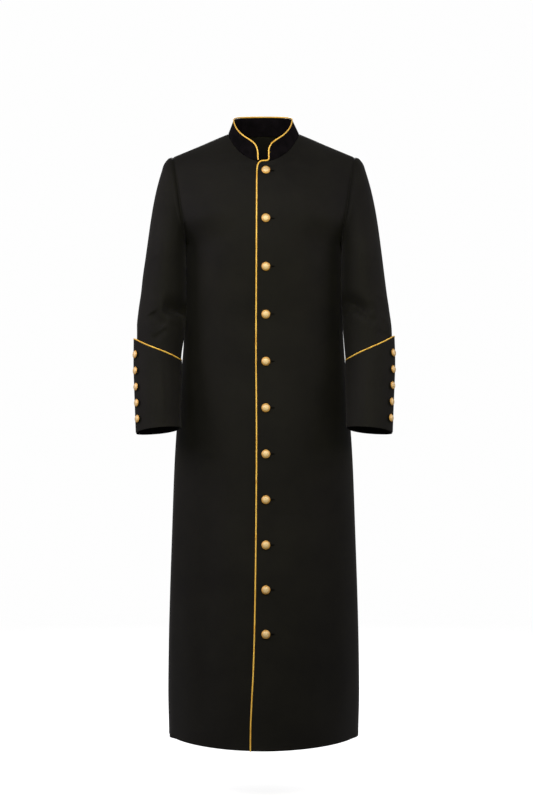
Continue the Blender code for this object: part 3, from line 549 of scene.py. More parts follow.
# the body: lines down its centre front, centre back and side seams, drops below the neck points
body = {
    "cloth": 0.0016,             # thickness of the wool
    "seamGap": 0.0005,
    "seamDip": 0.0011,           # how far cloth dips towards a seam
    "seamDipWide": 0.0036,
    "lapStep": 0.0028,           # how far the under front lies below the lapping one
    "sinkFrom": 0.02,            # across from the centre line, where the under front rises again
    "sinkReach": 0.07,
    "hemDrop": 1.436,
    "hemRise": 0.0042,           # the hem hangs this much higher at its sides
    "hemRiseTop": 1.15,
    "hemTurnUp": 0.036,          # depth of the hem turned up inside
    "hemThicker": 0.0012,
    "hemFade": 0.002,            # over which the turned-up part thins out at its top
    "underarmDrop": 0.270,
    "underarmBlend": 0.34,
    "neckShare": 0.70,           # share of the armhole at which girths reach the neck
    "neckHalfWidth": 0.0843,
    "neckFront": -0.0885,
    "neckBack": 0.0700,
    "neckFrontDrop": 0.0725,
    "neckBackDrop": -0.0040,
    "neckSag": 1.4,
    "collarStart": 9.8,          # degrees round the neck from the centre front
    "rowStep": 0.0040,
    "frontRows": (24, 58, 36),   # beside the armhole, round the lap's corner, up the neckline
    "backRows": (272, 48, 26),   # below the underarm, up to the neckline, along it
    "frontColumns": 78,
    "backColumns": 60,
    "cornerLevel": 0.30,         # where the rows begin to fan out round the lap's corner
    "fanReach": 0.4,             # share of the way across over which they do
    "fanFade": 5,                # how soon they are level again: 1 is evenly
    "neckSpread": 1.5,           # how the far ends of the neckline's rows crowd at its corner
    "frontRelax": 60,            # times that a sheet is relaxed
    "backRelax": 40,
    "softRelax": 260,            # below the chest's outer corner, at softDrop
    "softDrop": 0.245,
    "softAcross": 0.085,
    "softReach": 0.050,
    "frontLine": chart(
        "drop depth",
        (0.0735, -0.0885), (0.1100, -0.1050), (0.1600, -0.1200), (0.2150, -0.1300),
        (0.2700, -0.1340), (0.3500, -0.1312), (0.4500, -0.1255), (0.5400, -0.1265),
        (0.6500, -0.1345), (0.7800, -0.1455), (0.9500, -0.1590), (1.1000, -0.1720),
        (1.2500, -0.1860), (1.4360, -0.2040)),
    "backLine": chart(
        "drop depth",
        (-0.0040, 0.0700), (0.0300, 0.0870), (0.0800, 0.1015), (0.1400, 0.1125),
        (0.2000, 0.1165), (0.2700, 0.1140), (0.3500, 0.1040), (0.4500, 0.0930),
        (0.5400, 0.0930), (0.6500, 0.1110), (0.7800, 0.1330), (0.9500, 0.1570),
        (1.1000, 0.1800), (1.2500, 0.2060), (1.4360, 0.2380)),
    # roundness says how square a girth is: 0.55 is an ellipse
    "sideLine": chart(
        "drop halfWidth depth roundness",
        (0.2700, 0.1860, -0.0080, 0.59), (0.3500, 0.1865, -0.0060, 0.59),
        (0.4500, 0.1880, -0.0020, 0.59), (0.5400, 0.1938, 0.0020, 0.59),
        (0.6500, 0.2036, 0.0090, 0.59), (0.7800, 0.2126, 0.0180, 0.58),
        (0.9500, 0.2192, 0.0300, 0.57), (1.1000, 0.2247, 0.0440, 0.55),
        (1.2500, 0.2288, 0.0610, 0.53), (1.3400, 0.2300, 0.0730, 0.515),
        (1.4360, 0.2282, 0.0850, 0.50)),
    "frontArmhole": chart(
        "halfWidth depth drop",
        (0.1860, -0.0080, 0.2700), (0.1818, -0.0450, 0.2633), (0.1834, -0.0610, 0.2479),
        (0.1898, -0.0720, 0.2113), (0.1955, -0.0670, 0.1780), (0.1994, -0.0580, 0.1465),
        (0.2041, -0.0460, 0.1175), (0.2097, -0.0300, 0.0830), (0.2135, -0.0140, 0.0625),
        (0.2166, 0.0040, 0.0545)),
    "backArmhole": chart(
        "halfWidth depth drop",
        (0.1860, -0.0080, 0.2700), (0.1880, 0.0280, 0.2640), (0.1920, 0.0550, 0.2430),
        (0.1970, 0.0690, 0.2050), (0.2015, 0.0660, 0.1650), (0.2055, 0.0550, 0.1250),
        (0.2100, 0.0410, 0.0870), (0.2140, 0.0240, 0.0640), (0.2166, 0.0040, 0.0545)),
    # how a girth above the underarm arrives at the armhole, by the share of it
    "arrival": chart(
        "share out round rise startPull endPull",
        (0.00, 0.00, 1.00, 0.00, 0.50, 0.34), (0.14, 0.22, 0.97, 0.00, 0.48, 0.34),
        (0.25, 0.40, 0.91, 0.00, 0.46, 0.34), (0.36, 0.60, 0.80, -0.02, 0.43, 0.34),
        (0.52, 0.80, 0.58, -0.10, 0.40, 0.34), (0.70, 0.90, 0.33, -0.26, 0.37, 0.34),
        (0.87, 0.92, 0.14, -0.36, 0.35, 0.34), (1.00, 0.924, 0.028, -0.38, 0.333, 0.333)),
    # where each front's free edge lies past the centre line
    "lapEdge": chart(
        "drop past",
        (0.0735, -0.0144), (0.0738, 0.0030), (0.0762, 0.0086), (0.0805, 0.0116),
        (0.0880, 0.0132), (0.0980, 0.0140), (0.1100, 0.0144), (0.1500, 0.0146),
        (0.2600, 0.0150), (0.5200, 0.0161), (0.7100, 0.0148), (0.9300, 0.0160),
        (1.1500, 0.0191), (1.2500, 0.0219), (1.3300, 0.0259), (1.3800, 0.0281),
        (1.4360, 0.0287)),
    "underEdge": chart(
        "drop past",
        (0.0735, -0.0144), (0.0765, 0.0020), (0.0810, 0.0160), (0.0870, 0.0260),
        (0.0960, 0.0320), (0.1100, 0.0340), (0.1300, 0.0340), (0.2000, 0.0340),
        (1.4360, 0.0340)),
    # soft flutes in the skirt: place is the share of the way from the centre to the side seam,
    # and they fade in between the drops top and full
    "flutes": (
        dict(side=-1, face="front", place=0.815, reach=0.085, height=0.0060, top=0.66, full=1.00),
        dict(side=1, face="front", place=0.840, reach=0.110, height=0.0040, top=0.75, full=1.15),
        dict(side=-1, face="back", place=0.420, reach=0.120, height=0.0070, top=0.80, full=1.25),
        dict(side=-1, face="back", place=0.780, reach=0.090, height=0.0050, top=0.90, full=1.25),
        dict(side=1, face="back", place=0.460, reach=0.130, height=0.0060, top=0.85, full=1.30),
        dict(side=1, face="back", place=0.800, reach=0.080, height=0.0055, top=0.80, full=1.20)),
}

# creases: three places (across, drop) in metres, half width and height
bodyFolds = {
    "front_left": (
        ((-0.004, 0.0790), (0.014, 0.0835), (0.031, 0.0745), 0.0042, -0.0016),
        ((0.044, 0.0600), (0.040, 0.0760), (0.031, 0.0930), 0.0040, 0.0011),
        ((0.033, 0.190), (0.037, 0.222), (0.036, 0.256), 0.0040, 0.0005),
        ((0.010, 0.098), (0.050, 0.130), (0.100, 0.215), 0.0120, -0.0006),
        ((0.150, 0.420), (0.160, 0.560), (0.150, 0.700), 0.0220, -0.0012),
        ((0.140, 0.780), (0.150, 1.050), (0.155, 1.400), 0.0260, -0.0030),
        ((0.060, 0.900), (0.066, 1.150), (0.078, 1.436), 0.0300, 0.0016)),
    "front_right": (
        ((-0.052, 0.0660), (-0.054, 0.0800), (-0.053, 0.0950), 0.0035, -0.0005),
        ((-0.020, 0.0790), (-0.028, 0.0860), (-0.040, 0.0900), 0.0050, -0.0007),
        ((-0.145, 0.420), (-0.158, 0.560), (-0.150, 0.700), 0.0220, -0.0012),
        ((-0.120, 0.760), (-0.132, 1.050), (-0.140, 1.400), 0.0240, -0.0034),
        ((-0.070, 0.900), (-0.072, 1.150), (-0.080, 1.436), 0.0300, 0.0014)),
    "back": (
        ((0.165, 0.245), (0.120, 0.290), (0.070, 0.330), 0.0160, -0.0024),
        ((-0.168, 0.240), (-0.118, 0.275), (-0.075, 0.325), 0.0150, -0.0026),
        ((-0.060, 0.455), (0.000, 0.478), (0.075, 0.462), 0.0120, -0.0020),
        ((-0.085, 0.520), (-0.010, 0.548), (0.060, 0.530), 0.0130, -0.0016),
        ((0.020, 0.640), (0.012, 0.900), (-0.010, 1.300), 0.0250, -0.0030),
        ((-0.150, 0.700), (-0.160, 1.000), (-0.165, 1.430), 0.0220, -0.0036),
        ((0.150, 0.720), (0.156, 1.000), (0.170, 1.430), 0.0230, -0.0032),
        ((-0.020, 0.020), (0.004, 0.050), (0.030, 0.030), 0.0110, -0.0008)),
}


# the armhole by the share of its length, through its chart's rows
def armholePoint(face, share):
    lines = body[face + "Armhole"]
    points = np.stack([lines["halfWidth"], lines["depth"], -lines["drop"]], axis=1)
    along = lengthAlong(points)
    smooth = {"along": along / along[-1], "x": points[:, 0], "y": points[:, 1], "z": points[:, 2]}
    return stackXyz(*readColumns(smooth, "x y z", share))


# the neckline: half an ellipse seen from above, that sinks towards the centre front
def neckPoint(face, angle):
    sine, cosine = np.sin(np.radians(angle)), np.maximum(np.cos(np.radians(angle)), 0)
    if face == "back":
        return stackXyz(body["neckHalfWidth"] * sine, body["neckBack"] * cosine,
                        -body["neckBackDrop"] * cosine)
    start = math.cos(math.radians(body["collarStart"]))
    drop = body["neckFrontDrop"] * (cosine / start) ** body["neckSag"]
    return stackXyz(body["neckHalfWidth"] * sine, body["neckFront"] * cosine, -drop)


# degrees round the neckline from the centre at a level, and the other way round
def neckAngle(face, level):
    first = body["collarStart"] if face == "front" else 0.0
    return first + (90 - first) * (level - body["neckShare"]) / (1 - body["neckShare"])


def neckLevel(face, angle):
    first = body["collarStart"] if face == "front" else 0.0
    justPast = 1e-9      # so that the first one is already on the neckline
    share = np.clip((angle - first) / (90 - first), 0, 1)
    return body["neckShare"] + justPast + (1 - body["neckShare"]) * share


# controls of a level girth from the centre line to the side seam, squarer with its roundness
def levelGirth(centre, side):
    drop = np.maximum(-centre[..., 2], body["underarmDrop"])
    roundness = readChart(body["sideLine"], "roundness", drop)
    first = centre + stackXyz(roundness * side[..., 0], 0, 0)
    last = side - stackXyz(0, roundness * (side[..., 1] - centre[..., 1]), 0)
    return np.stack([centre, first, last, side], axis=-2)


# controls of half girths from the centre or the neckline to the side. A level below 0 is metres
# under the underarm, and one above 0 is a share of the armhole; just above the underarm the
# girth fades from the level one to the one that climbs to the shoulder
def girthControls(face, level):
    line, top = body[face + "Line"], body["neckShare"]
    towards = 1 if face == "front" else -1
    share = np.clip(level, 0, 1)
    under, onNeck = (level <= 0)[..., None], (level > top)[..., None]
    drop = body["underarmDrop"] + np.where(
        level <= 0, -level, (line["drop"][0] - body["underarmDrop"]) * np.minimum(share / top, 1))
    centre = stackXyz(0, readChart(line, "depth", drop), -drop)
    centre = np.where(onNeck, neckPoint(face, neckAngle(face, np.maximum(share, top))), centre)
    sideSeam = stackXyz(*readColumns(body["sideLine"], "halfWidth depth", drop), -drop)
    side = np.where(under, sideSeam, armholePoint(face, share))
    # it leaves straight across, or along the shoulder from the neck point, and arrives as charted
    shoulder = unit(armholePoint(face, 1.0) - neckPoint(face, 90.0))
    turn = np.clip((share - top) / (1 - top), 0, 1)[..., None]
    leave = unit((1 - turn) * np.array([1.0, 0, 0]) + turn * shoulder)
    out, across, rise, startPull, endPull = readColumns(
        body["arrival"], "out round rise startPull endPull", share)
    arrive = unit(stackXyz(out, towards * across, rise))
    chord = np.linalg.norm(side - centre, axis=-1)[..., None]
    first = centre + leave * chord * startPull[..., None]
    last = side - arrive * chord * endPull[..., None]
    # the level girth at this drop, cut short where it comes level with the armhole
    underarm = armholePoint(face, 0.0)
    whole = levelGirth(centre, stackXyz(underarm[0], underarm[1], centre[..., 2]))
    reach = curveReach(whole, 1, side[..., 1], towards)[..., None]
    afterCentre, beforeCut, cut = curveCut(whole, reach)
    beforeSide = side + beforeCut - cut
    fade = ease(share / body["underarmBlend"])[..., None]
    first = np.where(onNeck, first, afterCentre + (first - afterCentre) * fade)
    last = np.where(onNeck, last, beforeSide + (last - beforeSide) * fade)
    climbing = np.stack([centre, first, last, side], axis=-2)
    return np.where(under[..., None], levelGirth(centre, side), climbing)


# a bump that fades to nothing at its reach, as high as the drop says
def fluteRise(side, face, place, drop):
    rise = np.zeros(np.broadcast(place, drop).shape)
    for flute in body["flutes"]:
        if flute["side"] == side and flute["face"] == face:
            near = 1 - np.abs(place - flute["place"]) / flute["reach"]
            grown = (drop - flute["top"]) / (flute["full"] - flute["top"])
            rise += flute["height"] * ease(near) * ease(grown)
    return rise


# points of the body at a level and t; t below 0 is past the centre line
def bodyPoints(side, face, level, t):
    controls = girthControls(face, level)
    points = curveAt(controls, np.abs(t))
    points[..., 0] *= np.where(t < 0, -1, 1)
    drop = body["underarmDrop"] - np.minimum(level, 0)
    middle = np.stack([0 * drop, controls[..., 3, 1], controls[..., 3, 2]], axis=-1)
    lift = np.where(level < 0, fluteRise(side, face, t, drop), 0)
    points += unit(points - middle) * lift[..., None]
    rise = ease((drop - body["hemRiseTop"]) / (body["hemDrop"] - body["hemRiseTop"]))
    points[..., 2] += np.where(level < 0, body["hemRise"] * t * t * rise, 0)
    points[..., 0] *= side
    return points


# where each row starts: the t at which its girth reaches the free edge or the centre line
def edgeStart(face, level, edge):
    controls = girthControls(face, level)
    past = readChart(edge, "past", -controls[..., 0, 2])
    start = -np.sign(past) * curveReach(controls, 0, np.abs(past))
    return np.where(level > body["neckShare"], 0.0, start)


# cloth dips towards its side seam and its last row
def dipAtSeams(grid, normals):
    dip = sum(hump(fromEnds(grid, axis)[1], body["seamDipWide"]) for axis in (1, 0))
    return grid - normals * (body["seamDip"] * dip)[..., None]


# the side seam and the shoulder seam draw back by half the gap between the pieces
def trimSeams(grid, level):
    gap = body["seamGap"] / 2
    grid = grid.copy()
    under = level <= 0
    grid[under, -1] += unit(grid[under, -2] - grid[under, -1]) * gap
    grid[-1] += unit(grid[-2] - grid[-1]) * gap
    return grid


tape = {
    "cloth": 0.0005,
    "clear": 0.0005,             # between the tape and the cloth it covers
    "hemClear": 0.0013,          # this much more where the hem is turned up
    "hemMargin": 0.006,          # and from this far above the turned-up part
    "hemFade": 0.004,
    "sideCount": 240,            # points along each tape
    "shoulderCount": 60,
    "armholeCount": 161,
    "neckCount": 190,
    "collarClear": 0.0002,       # more behind the collar, which is thicker
    "neckReach": 0.9,            # below the neck seam, as a share of its reach above it
    "neckLift": 0.0004,
    "neckInset": 0.0020,
}


# a tape sewn behind a seam: lines beside the seam on both pieces, each moved inwards along its
# piece's own normals, and the lines midway between them are the rows of one thin strip
def tapeParts(lines, normals, count, around=False):
    depth = body["cloth"] + tape["clear"]
    rows = np.stack([evenly(line - normal * depth, count) for line, normal in zip(lines, normals)])
    grid = np.repeat(rows, 2, axis=0)[:-1]
    grid[1::2] = (rows[:-1] + rows[1:]) / 2
    if around:
        grid = grid[:, :-1]
    outward = np.mean([evenly(normal, count) for normal in normals], axis=0)[:grid.shape[1]]
    flip = np.sum(gridNormals(grid, around) * outward) < 0
    return shellParts(grid, tape["cloth"], around=around, flip=flip)


# tapes behind the side seam and the shoulder seam, from a front's sheet and the back's on that
# side; a sheet is its grid, its normals and its rows' levels
def sideTape(front, rear):
    lines, normals = [], []
    for (grid, outward, level), column in ((front, -3), (front, -2), (rear, -2), (rear, -3)):
        rows = np.flatnonzero(level <= 0)[1:]      # from just above the hem to the underarm
        edge = grid[rows, column]
        aboveHem = edge[:, 2] - grid[0, column, 2]
        margin = body["hemTurnUp"] + tape["hemMargin"] - aboveHem
        deeper = tape["hemClear"] * ease(margin / tape["hemFade"])
        lines.append(edge - outward[rows, column] * deeper[:, None])
        normals.append(outward[rows, column])
    return tapeParts(lines, normals, tape["sideCount"])


def shoulderTape(front, rear):
    rows = ((front, -4), (front, -2), (rear, -2), (rear, -4))
    lines = [sheet[0][row, 1:-1] for sheet, row in rows]
    normals = [sheet[1][row, 1:-1] for sheet, row in rows]
    return tapeParts(lines, normals, tape["shoulderCount"])


# levels of a back's rows, from the hem to the shoulder
def backRows():
    under, top = body["underarmDrop"], body["neckShare"]
    return np.concatenate([np.linspace(under - body["hemDrop"], 0, body["backRows"][0]),
                           np.linspace(0, top, body["backRows"][1])[1:],
                           np.linspace(top, 1, body["backRows"][2])[1:]])


# outward normals of the back's two halves, made the same down the centre line
def halfNormals(halves, below):
    made = [gridNormals(half) * sign for half, sign in zip(halves, (-1, 1))]
    shared = unit(made[0][below, 0] + made[1][below, 0])
    for normals in made:
        normals[below, 0] = shared
    return made


# the back, and what the fronts need of it: the sheet of each half
def addBack():
    level = backRows()
    across = np.linspace(0, 1, body["backColumns"] + 1)
    left, right = (bodyPoints(side, "back", level[:, None], across) for side in (1, -1))
    # below the neck the two halves are one sheet, relaxed together across the centre line
    below = level <= body["neckShare"]
    middle = body["backColumns"]
    whole = np.concatenate([right[:, :0:-1], left], axis=1)
    whole[below] = relaxed(whole[below], body["backRelax"])
    halves = [whole[:, middle:], np.where(below[:, None, None], whole[:, middle::-1], right)]
    halves = [trimSeams(half, level) for half in halves]
    for half, normals in zip(halves, halfNormals(halves, below)):
        half += normals * foldHeight(half[..., 0], -half[..., 2], bodyFolds["back"])[..., None]
        half[:] = dipAtSeams(half, normals)
    halves[1][below, 0] = halves[0][below, 0]
    sheets, walls = {}, []
    for half, side, normals in zip(halves, (1, -1), halfNormals(halves, below)):
        sheets[side] = (half, normals, level)
        points, faces, flat = shellParts(half, body["cloth"], flip=side > 0, normals=normals,
                                         turnUp=body["hemTurnUp"], freeEdge=offCentre)
        walls.append((points, faces, flat * (side, 1)))
    closeMesh(addMesh("back", joined(*walls), wool), apart=2e-5, solid=False)
    return sheets


# where a half's first column is off the centre line, at the neck, and so a free edge
def offCentre(grid):
    return np.abs(grid[:, 0, 0]) > 1e-3


# rows of a front: below the lap's corner they are level; round the corner and up the neckline
# they start at even steps along the free edge and fan out to even steps along the armhole
def frontRows(edge):
    top, cornerLevel = body["neckShare"], body["cornerLevel"]
    lowRows, cornerRows, neckRows = body["frontRows"]
    length = body["hemDrop"] - body["underarmDrop"]
    below = np.linspace(-length, 0, round(length / body["rowStep"]))
    low = np.linspace(0, cornerLevel, lowRows)[1:]
    # many levels that crowd towards the neckline, where the edge runs nearly level
    samples, crowding = 600, 3
    dense = cornerLevel + (top - cornerLevel) * (1 - np.linspace(1, 0, samples) ** crowding)
    start = bodyPoints(1, "front", dense, edgeStart("front", dense, edge))
    corner = evenly(start, cornerRows, dense[:, None])[1:, 0]
    cornerFar = np.linspace(cornerLevel, top, cornerRows)[1:]
    share = np.linspace(0, 1, neckRows)[1:]
    neck, neckFar = top + (1 - top) * share, top + (1 - top) * share ** body["neckSpread"]
    return (np.concatenate([below, low, corner, neck]),
            np.concatenate([below, low, cornerFar, neckFar]))


# adds a front to the scene, and gives the grid of its outer points for the piping
def addFront(name, side, edge, rear):
    nearLevel, farLevel = frontRows(edge)
    across = np.linspace(0, 1, body["frontColumns"] + 1)
    fan = np.clip(1 - across / body["fanReach"], 0, 1) ** body["fanFade"]
    level = farLevel[:, None] + (nearLevel - farLevel)[:, None] * fan
    start = edgeStart("front", nearLevel, edge)[:, None]
    grid = bodyPoints(side, "front", level, start + (1 - start) * across)
    if side < 0:      # the under front sinks below the lapping one
        sunk = ease(1 - (-grid[..., 0] - body["sinkFrom"]) / body["sinkReach"])
        grid[..., 1] += body["lapStep"] * sunk
    grid = relaxed(grid, body["frontRelax"])
    # the cloth falls more softly below the chest's outer corner
    outside = ease((np.abs(grid[..., 0]) - body["softAcross"]) / body["softReach"])
    soft = hump(-grid[..., 2] - body["softDrop"], body["softReach"]) * outside
    grid += soft[..., None] * (relaxed(grid, body["softRelax"]) - grid)
    grid = trimSeams(grid, nearLevel)
    normals = gridNormals(grid) * side
    grid += normals * foldHeight(grid[..., 0], -grid[..., 2], bodyFolds[name])[..., None]
    grid = dipAtSeams(grid, normals)
    wall = shellParts(grid, body["cloth"], flip=side < 0, turnUp=body["hemTurnUp"])
    front = (grid, normals, nearLevel)
    addMesh(name, joined(wall, sideTape(front, rear), shoulderTape(front, rear)), wool)
    return grid


backSheets = addBack()
leftGrid = addFront("front_left", 1, body["lapEdge"], backSheets[1])
addFront("front_right", -1, body["underEdge"], backSheets[-1])
print("fronts and back made")


# what sleeves and cuffs share; 0 degrees is outermost and 90 the front
arm = {
    "degree": 0.00096,           # metres of cloth in a degree round the arm
    "raiseRound": 0.8,           # share of a rise that climbs as the cosine, the rest as its cube
    "scoopAngle": -16,           # degrees, just behind the outermost
    "scoopWide": 30,
}


# a girth of the sleeve or cuff: an ellipse of its chart's sizes, raised at the outer side and
# the front
def armLine(lines, side, row, angle):
    cosine, sine = np.cos(np.radians(angle)), np.sin(np.radians(angle))
    value = {name: readChart(lines, name, row) for name in lines}
    fuller, looser = side * value["fuller"], side * value.get("looser", 0) / 2
    climb = arm["raiseRound"] * cosine + (1 - arm["raiseRound"]) * cosine ** 3
    raised = value["raiseOut"] * climb + value["raiseFront"] * sine
    raised = raised + max(side, 0) * value.get("steeper", 0) * (1 + cosine) / 2
    turn = (angle + 180) % 360 - 180
    raised = raised - value.get("scoop", 0) * hump(turn - arm["scoopAngle"], arm["scoopWide"])
    halfWidth = value["halfWidth"] + fuller - looser
    return stackXyz(side * (value["centreX"] + fuller + looser + halfWidth * cosine),
                    value["centreY"] - value["halfDepth"] * sine, raised - value["drop"])


sleeve = {
    "cloth": 0.0016,
    "columns": 128,
    "headRows": 60,
    "armRows": 96,
    "crownShare": 0.62,
    "crownLift": 0.0040,         # how far the roped top of the sleeve stands above its seam
    "rope": 0.0011,              # height of the roped edge, its place from the seam and width
    "ropePlace": 0.0075,
    "ropeWide": 0.0052,
    "seamDip": 0.0012,
    "seamDipWide": 0.0026,
    "headShares": (0.0, 0.08, 0.16, 0.28, 0.44, 0.62, 0.82),
    "relax": 3,
    "tapeApart": (0.0055, 0.0022),   # of the tape's lines on the body, from the armhole
    "head": chart(
        "share out forward rise swellOut swellForward",
        (0.00, 0.0008, 0.0000, 0.0030, -0.002, 0.004), (0.25, 0.0026, 0.0020, 0.0010, 0.001, 0.010),
        (0.50, 0.0095, 0.0040, 0.0000, 0.010, 0.020), (0.75, 0.0155, 0.0040, -0.0030, 0.028, 0.015),
        (1.00, 0.0190, 0.0000, -0.0140, 0.040, 0.000)),
    # the wearer's left arm has these much more, and the right one less: fuller moves the outer
    # side out, and looser the inner side. The left cuff is cut steeper towards its outer side,
    # and both are scooped behind it
    "lines": chart(
        "drop centreX centreY halfWidth halfDepth raiseOut raiseFront fuller looser",
        (0.300, 0.2316, -0.0300, 0.0484, 0.0750, 0.000, 0.000, 0.0003, 0.0000),
        (0.345, 0.2343, -0.0320, 0.0516, 0.0740, 0.000, 0.002, 0.0001, 0.0000),
        (0.385, 0.2365, -0.0350, 0.0538, 0.0720, 0.002, 0.004, 0.0003, 0.0003),
        (0.425, 0.2394, -0.0395, 0.0560, 0.0690, 0.006, 0.006, 0.0003, 0.0009),
        (0.460, 0.2425, -0.0460, 0.0564, 0.0645, 0.012, 0.005, 0.0005, 0.0009),
        (0.500, 0.2456, -0.0560, 0.0541, 0.0582, 0.020, 0.002, 0.0010, -0.0008),
        (0.545, 0.2471, -0.0665, 0.0526, 0.0555, 0.020, 0.000, 0.0010, -0.0006)),
}

# creases: three places (degrees round the arm, drop), half width and height, and for the first
# ones the half width below them and how their ends fade
sleeveFolds = {
    "sleeve_right": (
        ((92, 0.420), (134, 0.421), (182, 0.428), 0.0240, -0.0175, 0.0105, 1.6),
        ((106, 0.444), (130, 0.446), (160, 0.458), 0.0100, 0.0024),
        ((68, 0.428), (81, 0.445), (98, 0.462), 0.0125, -0.0050),
        ((76, 0.492), (90, 0.481), (106, 0.467), 0.0080, -0.0030),
        ((60, 0.300), (72, 0.345), (76, 0.395), 0.0140, -0.0012),
        ((-150, 0.396), (-118, 0.412), (-84, 0.404), 0.0090, -0.0040),
        ((-140, 0.440), (-110, 0.448), (-70, 0.428), 0.0085, -0.0028),
        ((-96, 0.350), (-84, 0.376), (-60, 0.392), 0.0100, -0.0022),
        ((-150, 0.215), (-128, 0.250), (-118, 0.300), 0.0120, -0.0026)),
    "sleeve_left": (
        ((90, 0.439), (124, 0.411), (172, 0.402), 0.0200, -0.0140, 0.0110, 1.4),
        ((118, 0.414), (140, 0.421), (160, 0.432), 0.0100, -0.0040),
        ((97, 0.433), (88, 0.440), (73, 0.453), 0.0105, -0.0030),
        ((50, 0.392), (53, 0.440), (54, 0.492), 0.0110, -0.0026),
        ((56, 0.432), (38, 0.452), (24, 0.466), 0.0080, 0.0016),
        ((68, 0.470), (50, 0.479), (26, 0.484), 0.0075, -0.0020),
        ((60, 0.300), (70, 0.350), (80, 0.398), 0.0150, -0.0010),
        ((-152, 0.402), (-120, 0.415), (-88, 0.400), 0.0090, -0.0042),
        ((-138, 0.446), (-106, 0.452), (-72, 0.436), 0.0080, -0.0026),
        ((-100, 0.348), (-86, 0.372), (-62, 0.386), 0.0100, -0.0020),
        ((-146, 0.220), (-126, 0.256), (-114, 0.305), 0.0120, -0.0024)),
}


# round a sleeve from the underarm, up in front and down behind: shares of the armhole, 1 in
# front and -1 behind, and the controls of the body's girths that end there
def armholeRing(side):
    half = sleeve["columns"] // 2
    shares = np.concatenate([np.linspace(0, 1, half + 1), np.linspace(1, 0, half + 1)[1:-1]])
    forward = np.where(np.arange(len(shares)) <= half, 1, -1)
    controls = np.where((forward > 0)[:, None, None], girthControls("front", shares),
                        girthControls("back", shares))
    return shares, forward, controls * (side, 1, 1)


# rings of the sleeve: from the seam over the roped crown to its corner, then on a cubic curve to
# the first girth, then down the girths
def sleeveGrid(side):
    shares, forward, controls = armholeRing(side)
    angle = 180 * (1 - shares) * forward
    seam = controls[:, 3]
    intoHole = squareTo(unit(onwards(seam, 0, True)), seam - controls[:, 2])
    out, ahead, rise, swellOut, swellAhead = readColumns(
        sleeve["head"], "out forward rise swellOut swellForward", shares)
    reach = stackXyz(side * out, -forward * ahead, rise)
    swell = stackXyz(side * swellOut, -forward * swellAhead, 0)
    start = seam + intoHole * body["seamGap"]
    lift = stackXyz(0, 0, sleeve["crownLift"] * ease(shares))
    crown, corner = start + reach * sleeve["crownShare"] + lift, start + reach
    lines = sleeve["lines"]
    top = lines["drop"][0]
    near = 0.01
    upper, lower = armLine(lines, side, top, angle), armLine(lines, side, top + near, angle)
    chord = upper - corner
    arrive = unit(lower - upper) * np.linalg.norm(chord, axis=1, keepdims=True)
    t = np.array(sleeve["headShares"])[:, None, None]
    down = cubic(t, corner, upper, chord + swell, arrive)
    drops = np.linspace(top, lines["drop"][-1], sleeve["armRows"])
    girths = armLine(lines, side, drops[:, None], angle)
    rings = np.concatenate([[start, crown], down, girths[:4:2]])
    head = throughRings(rings, len(down) + 2, sleeve["headRows"])
    return np.concatenate([head, girths[1:]]), angle


# smooth curves through the same point of each ring, read at even steps up to ring 'last'
def throughRings(rings, last, count):
    key = lengthAlong(rings).mean(axis=1)
    slope = np.gradient(rings, key, axis=0)
    row, span, t = placeIn(key, np.linspace(0, key[last], count))
    span, t = span[:, None, None], t[:, None, None]
    return cubic(t, rings[row], rings[row + 1], span * slope[row], span * slope[row + 1])


# a tape behind the armhole seam: two lines on the body beside the hole and two on the sleeve
def armholeTape(grid, normals, side):
    controls = armholeRing(side)[2]
    reach = np.linalg.norm(controls[:, 3] - controls[:, 2], axis=1) * 3
    lines, away = [], []
    for apart in sleeve["tapeApart"]:
        line = curveAt(controls, 1 - apart / reach)
        out = unit(np.cross(onwards(line, 0, True), controls[:, 3] - line))
        out *= np.sign(np.sum(out * normals[4], axis=1))[:, None]
        lines.append(line)
        away.append(out)
    lines = [closedRound(line, 0) for line in (*lines, grid[1], grid[3])]
    away = [closedRound(normal, 0) for normal in (*away, normals[1], normals[3])]
    return tapeParts(lines, away, tape["armholeCount"], around=True)


def addSleeve(name, side):
    made, angle = sleeveGrid(side)
    grid = relaxed(made, sleeve["relax"], around=True)
    normals = gridNormals(grid, True) * -side
    lift = foldHeight(angle * arm["degree"], -made[..., 2], sleeveFolds[name], (arm["degree"], 1))
    # the roped edge beside the armhole seam, and the seam's own dip
    fromSeam = lengthAlong(grid)
    lift += sleeve["rope"] * hump(fromSeam - sleeve["ropePlace"], sleeve["ropeWide"])
    lift -= sleeve["seamDip"] * hump(fromSeam, sleeve["seamDipWide"])
    grid += normals * lift[..., None]
    wall = shellParts(grid, sleeve["cloth"], around=True, flip=side > 0)
    addMesh(name, joined(wall, armholeTape(grid, normals, side)), wool)


addSleeve("sleeve_left", 1)
addSleeve("sleeve_right", -1)
print("sleeves made")


cuff = {
    "cloth": 0.0016,
    "columns": 170,
    "rows": 58,
    "length": 0.19,
    "placketAngle": 14,          # degrees from outermost towards the front, the top layer's edge
    "placketOverlap": 27,        # degrees that the top layer covers
    "placketBlend": 45,          # degrees over which the lower layer sinks under it
    "lines": chart(
        "share drop centreX centreY halfWidth halfDepth raiseOut raiseFront fuller steeper scoop",
        (0.00, 0.5135, 0.2498, -0.0580, 0.0580, 0.0628, 0.0266, 0.0000, 0.0006, 0.0064, 0.007),
        (0.25, 0.5600, 0.2493, -0.0710, 0.0587, 0.0628, 0.0165, 0.0020, 0.0009, 0.0036, 0.000),
        (0.50, 0.6080, 0.2486, -0.0840, 0.0572, 0.0614, 0.0085, 0.0040, 0.0009, 0.0035, 0.000),
        (0.75, 0.6560, 0.2476, -0.0960, 0.0554, 0.0600, 0.0008, 0.0062, 0.0008, 0.0030, 0.000),
        (1.00, 0.7035, 0.2460, -0.1070, 0.0544, 0.0587, -0.0068, 0.0086, 0.0008, 0.0010, 0.000)),
}

